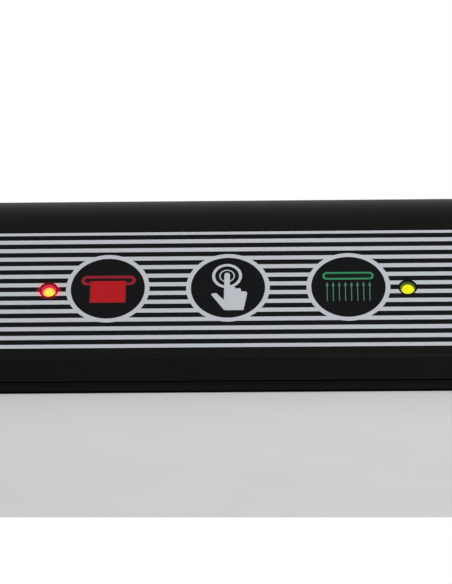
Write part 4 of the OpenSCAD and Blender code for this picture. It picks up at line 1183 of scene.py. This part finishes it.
class SEALER_OT_stage(bpy.types.Operator):
    """Set the floor, the light, the white surround and the camera"""

    bl_idname = "sealer.stage"
    bl_label = "Stage"

    def execute(self, context):
        scene = context.scene
        self.floor(tuple(scene.sealer_colours.floor))
        self.surround(scene)
        for name, spot, size, power in (
            ("key_light", (0.95, -0.80, 0.80), 1.1, 20.0),
            ("fill_light", (-0.75, -0.95, 0.95), 1.1, 7.0),
        ):
            light = bpy.data.lights.new(name, "AREA")
            light.shape, light.size, light.energy = "DISK", size, power
            lamp = bpy.data.objects.new(name, light)
            scene.collection.objects.link(lamp)
            lamp.location = spot
            lamp.rotation_euler = (-Vector(spot)).to_track_quat("-Z", "Y").to_euler()
        camera = bpy.data.objects.new("camera", bpy.data.cameras.new("camera"))
        scene.collection.objects.link(camera)
        camera.location = Vector((17.564, -768.555, 128.603)) * MM
        camera.rotation_euler = Euler([math.radians(angle) for angle in (82.24730, 0.62473, 1.29574)])
        camera.data.lens, camera.data.sensor_width = 164.0, 36.0
        camera.data.clip_start, camera.data.clip_end = 0.01, 30.0
        scene.camera = camera
        scene.view_settings.view_transform = "Standard"
        return {"FINISHED"}

    @staticmethod
    def outside(x, y, half_x, half_y):
        """Distance from a rectangle about the origin, zero within it."""
        dx, dy = (abs(x) - half_x).most(0.0), (abs(y) - half_y).most(0.0)
        return (dx * dx + dy * dy) ** 0.5

    def floor(self, tint):
        """Flat disc of rings of points, grey round the sealer and white further off.

        It carries a painted shadow under the casing and painted light close to it, and in front of the sealer
        it turns white at a straight line, so that it ends there as a table does.
        """
        turn = np.linspace(0, 2 * np.pi, 96, endpoint=False)
        radius = np.array([0.0, 0.3, 1.0, 4.0, 9.0])[:, None]
        points = np.stack([radius * np.cos(turn), radius * np.sin(turn), np.zeros((5, 96))], axis=-1)
        floor = tube("floor", points, caps=False, smooth=False)
        if floor.data.polygons[0].normal.z < 0:
            floor.data.flip_normals()

        half_length, half_depth = 180 * MM, 30 * MM
        foot_length, foot_depth, foot_shift, foot_corner = 173.9 * MM, 24.45 * MM, 2.57 * MM, 6 * MM
        painted_shadow_edge, painted_shadow_level = (-0.1 * MM, 0.15 * MM), 0.03
        glow_reach, glow_share, glow_ends = 14 * MM, 0.19, (100 * MM, 160 * MM)
        fade, near_level, far_level = (20 * MM, 160 * MM), 0.985, 0.885
        whitening = (200 * MM, 420 * MM)
        line, line_slant = (-193.25 * MM, -192.85 * MM), 0.02615
        f = Finish("floor", specular_ior_level=0.2)
        x, y, _z = f.parts(f.place())
        far = self.outside(x, y, half_length, half_depth)
        cloud = f.noise(30 * MM, detail=2.0)
        # painted light: the floor's colour is raised close to the casing, fading out towards its ends
        glow = far.smooth(0.0, glow_reach, glow_share, 0.0) * abs(x).smooth(*glow_ends, 1.0, 0.0)
        level = (glow + 1.0) * far.smooth(*fade, near_level, far_level)
        # painted shadow: the floor's colour falls nearly to black within the casing's rounded footprint
        foot = self.outside(x, y + foot_shift, foot_length, foot_depth) - foot_corner
        level = level * foot.smooth(*painted_shadow_edge, painted_shadow_level, 1.0)
        f.set(
            base_color=f.scale(tint, level * cloud.smooth(0.2, 0.8, 0.985, 1.015)),
            roughness=0.75 + (cloud - 0.5) * 0.05,
        )
        white = f.node("ShaderNodeEmission", inputs={"Color": (1.0, 1.0, 1.0), "Strength": 1.0})
        shade = Wire(f, f.shader.outputs[0])
        front = (y + x * line_slant).smooth(*line, 1.0, 0.0)
        share = front.most(far.smooth(*whitening))
        f.show(f.node("ShaderNodeMixShader", inputs={0: share, 1: shade, 2: white}))
        floor.data.materials.append(f.material)

    @staticmethod
    def surround(scene):
        """World: white to the camera, and to everything else a grey sky, brighter overhead and behind."""
        scene.world = scene.world or bpy.data.worlds.new("surround")
        f = Finish("surround", world=scene.world)
        where = f.node("ShaderNodeTexCoord", output="Generated")
        _x, away, up = f.parts(where)
        sky = up.smooth(0.05, 0.55, 0.60, 0.82) * away.smooth(-0.35, 0.25, 0.06, 1.0)
        seen = f.node("ShaderNodeLightPath", output="Is Camera Ray")
        white = (1.0, 1.0, 1.0)
        tint = f.mix(seen, f.scale(white, sky), white)
        f.show(f.node("ShaderNodeBackground", inputs={"Color": tint, "Strength": 1.0}))


OPERATORS = (
    SEALER_OT_stage, SEALER_OT_mouldings, SEALER_OT_label, SEALER_OT_icons, SEALER_OT_lamps,
    SEALER_OT_seals, SEALER_OT_springs, SEALER_OT_turned, SEALER_OT_fittings,
)


class SEALER_PT_panel(bpy.types.Panel):
    """Sizes, colours and the steps in working order"""

    bl_idname = "SEALER_PT_panel"
    bl_label = "Vacuum Sealer"
    bl_space_type = "VIEW_3D"
    bl_region_type = "UI"
    bl_category = "Sealer"

    def draw(self, context):
        for operator in OPERATORS:
            self.layout.operator(operator.bl_idname)
        for group in (context.scene.sealer_sizes, context.scene.sealer_colours):
            column = self.layout.column(align=True)
            for name in group.__annotations__:
                column.prop(group, name)


CLASSES = (SealerSizes, SealerColours, *OPERATORS, SEALER_PT_panel)


def register():
    for cls in CLASSES:
        bpy.utils.register_class(cls)
    bpy.types.Scene.sealer_sizes = bpy.props.PointerProperty(type=SealerSizes)
    bpy.types.Scene.sealer_colours = bpy.props.PointerProperty(type=SealerColours)


def unregister():
    del bpy.types.Scene.sealer_colours
    del bpy.types.Scene.sealer_sizes
    for cls in reversed(CLASSES):
        bpy.utils.unregister_class(cls)


def main():
    register()
    for plain in list(bpy.data.materials):
        bpy.data.materials.remove(plain)
    for operator in OPERATORS:
        group, name = operator.bl_idname.split(".")
        getattr(getattr(bpy.ops, group), name)()


if __name__ == "__main__":
    main()
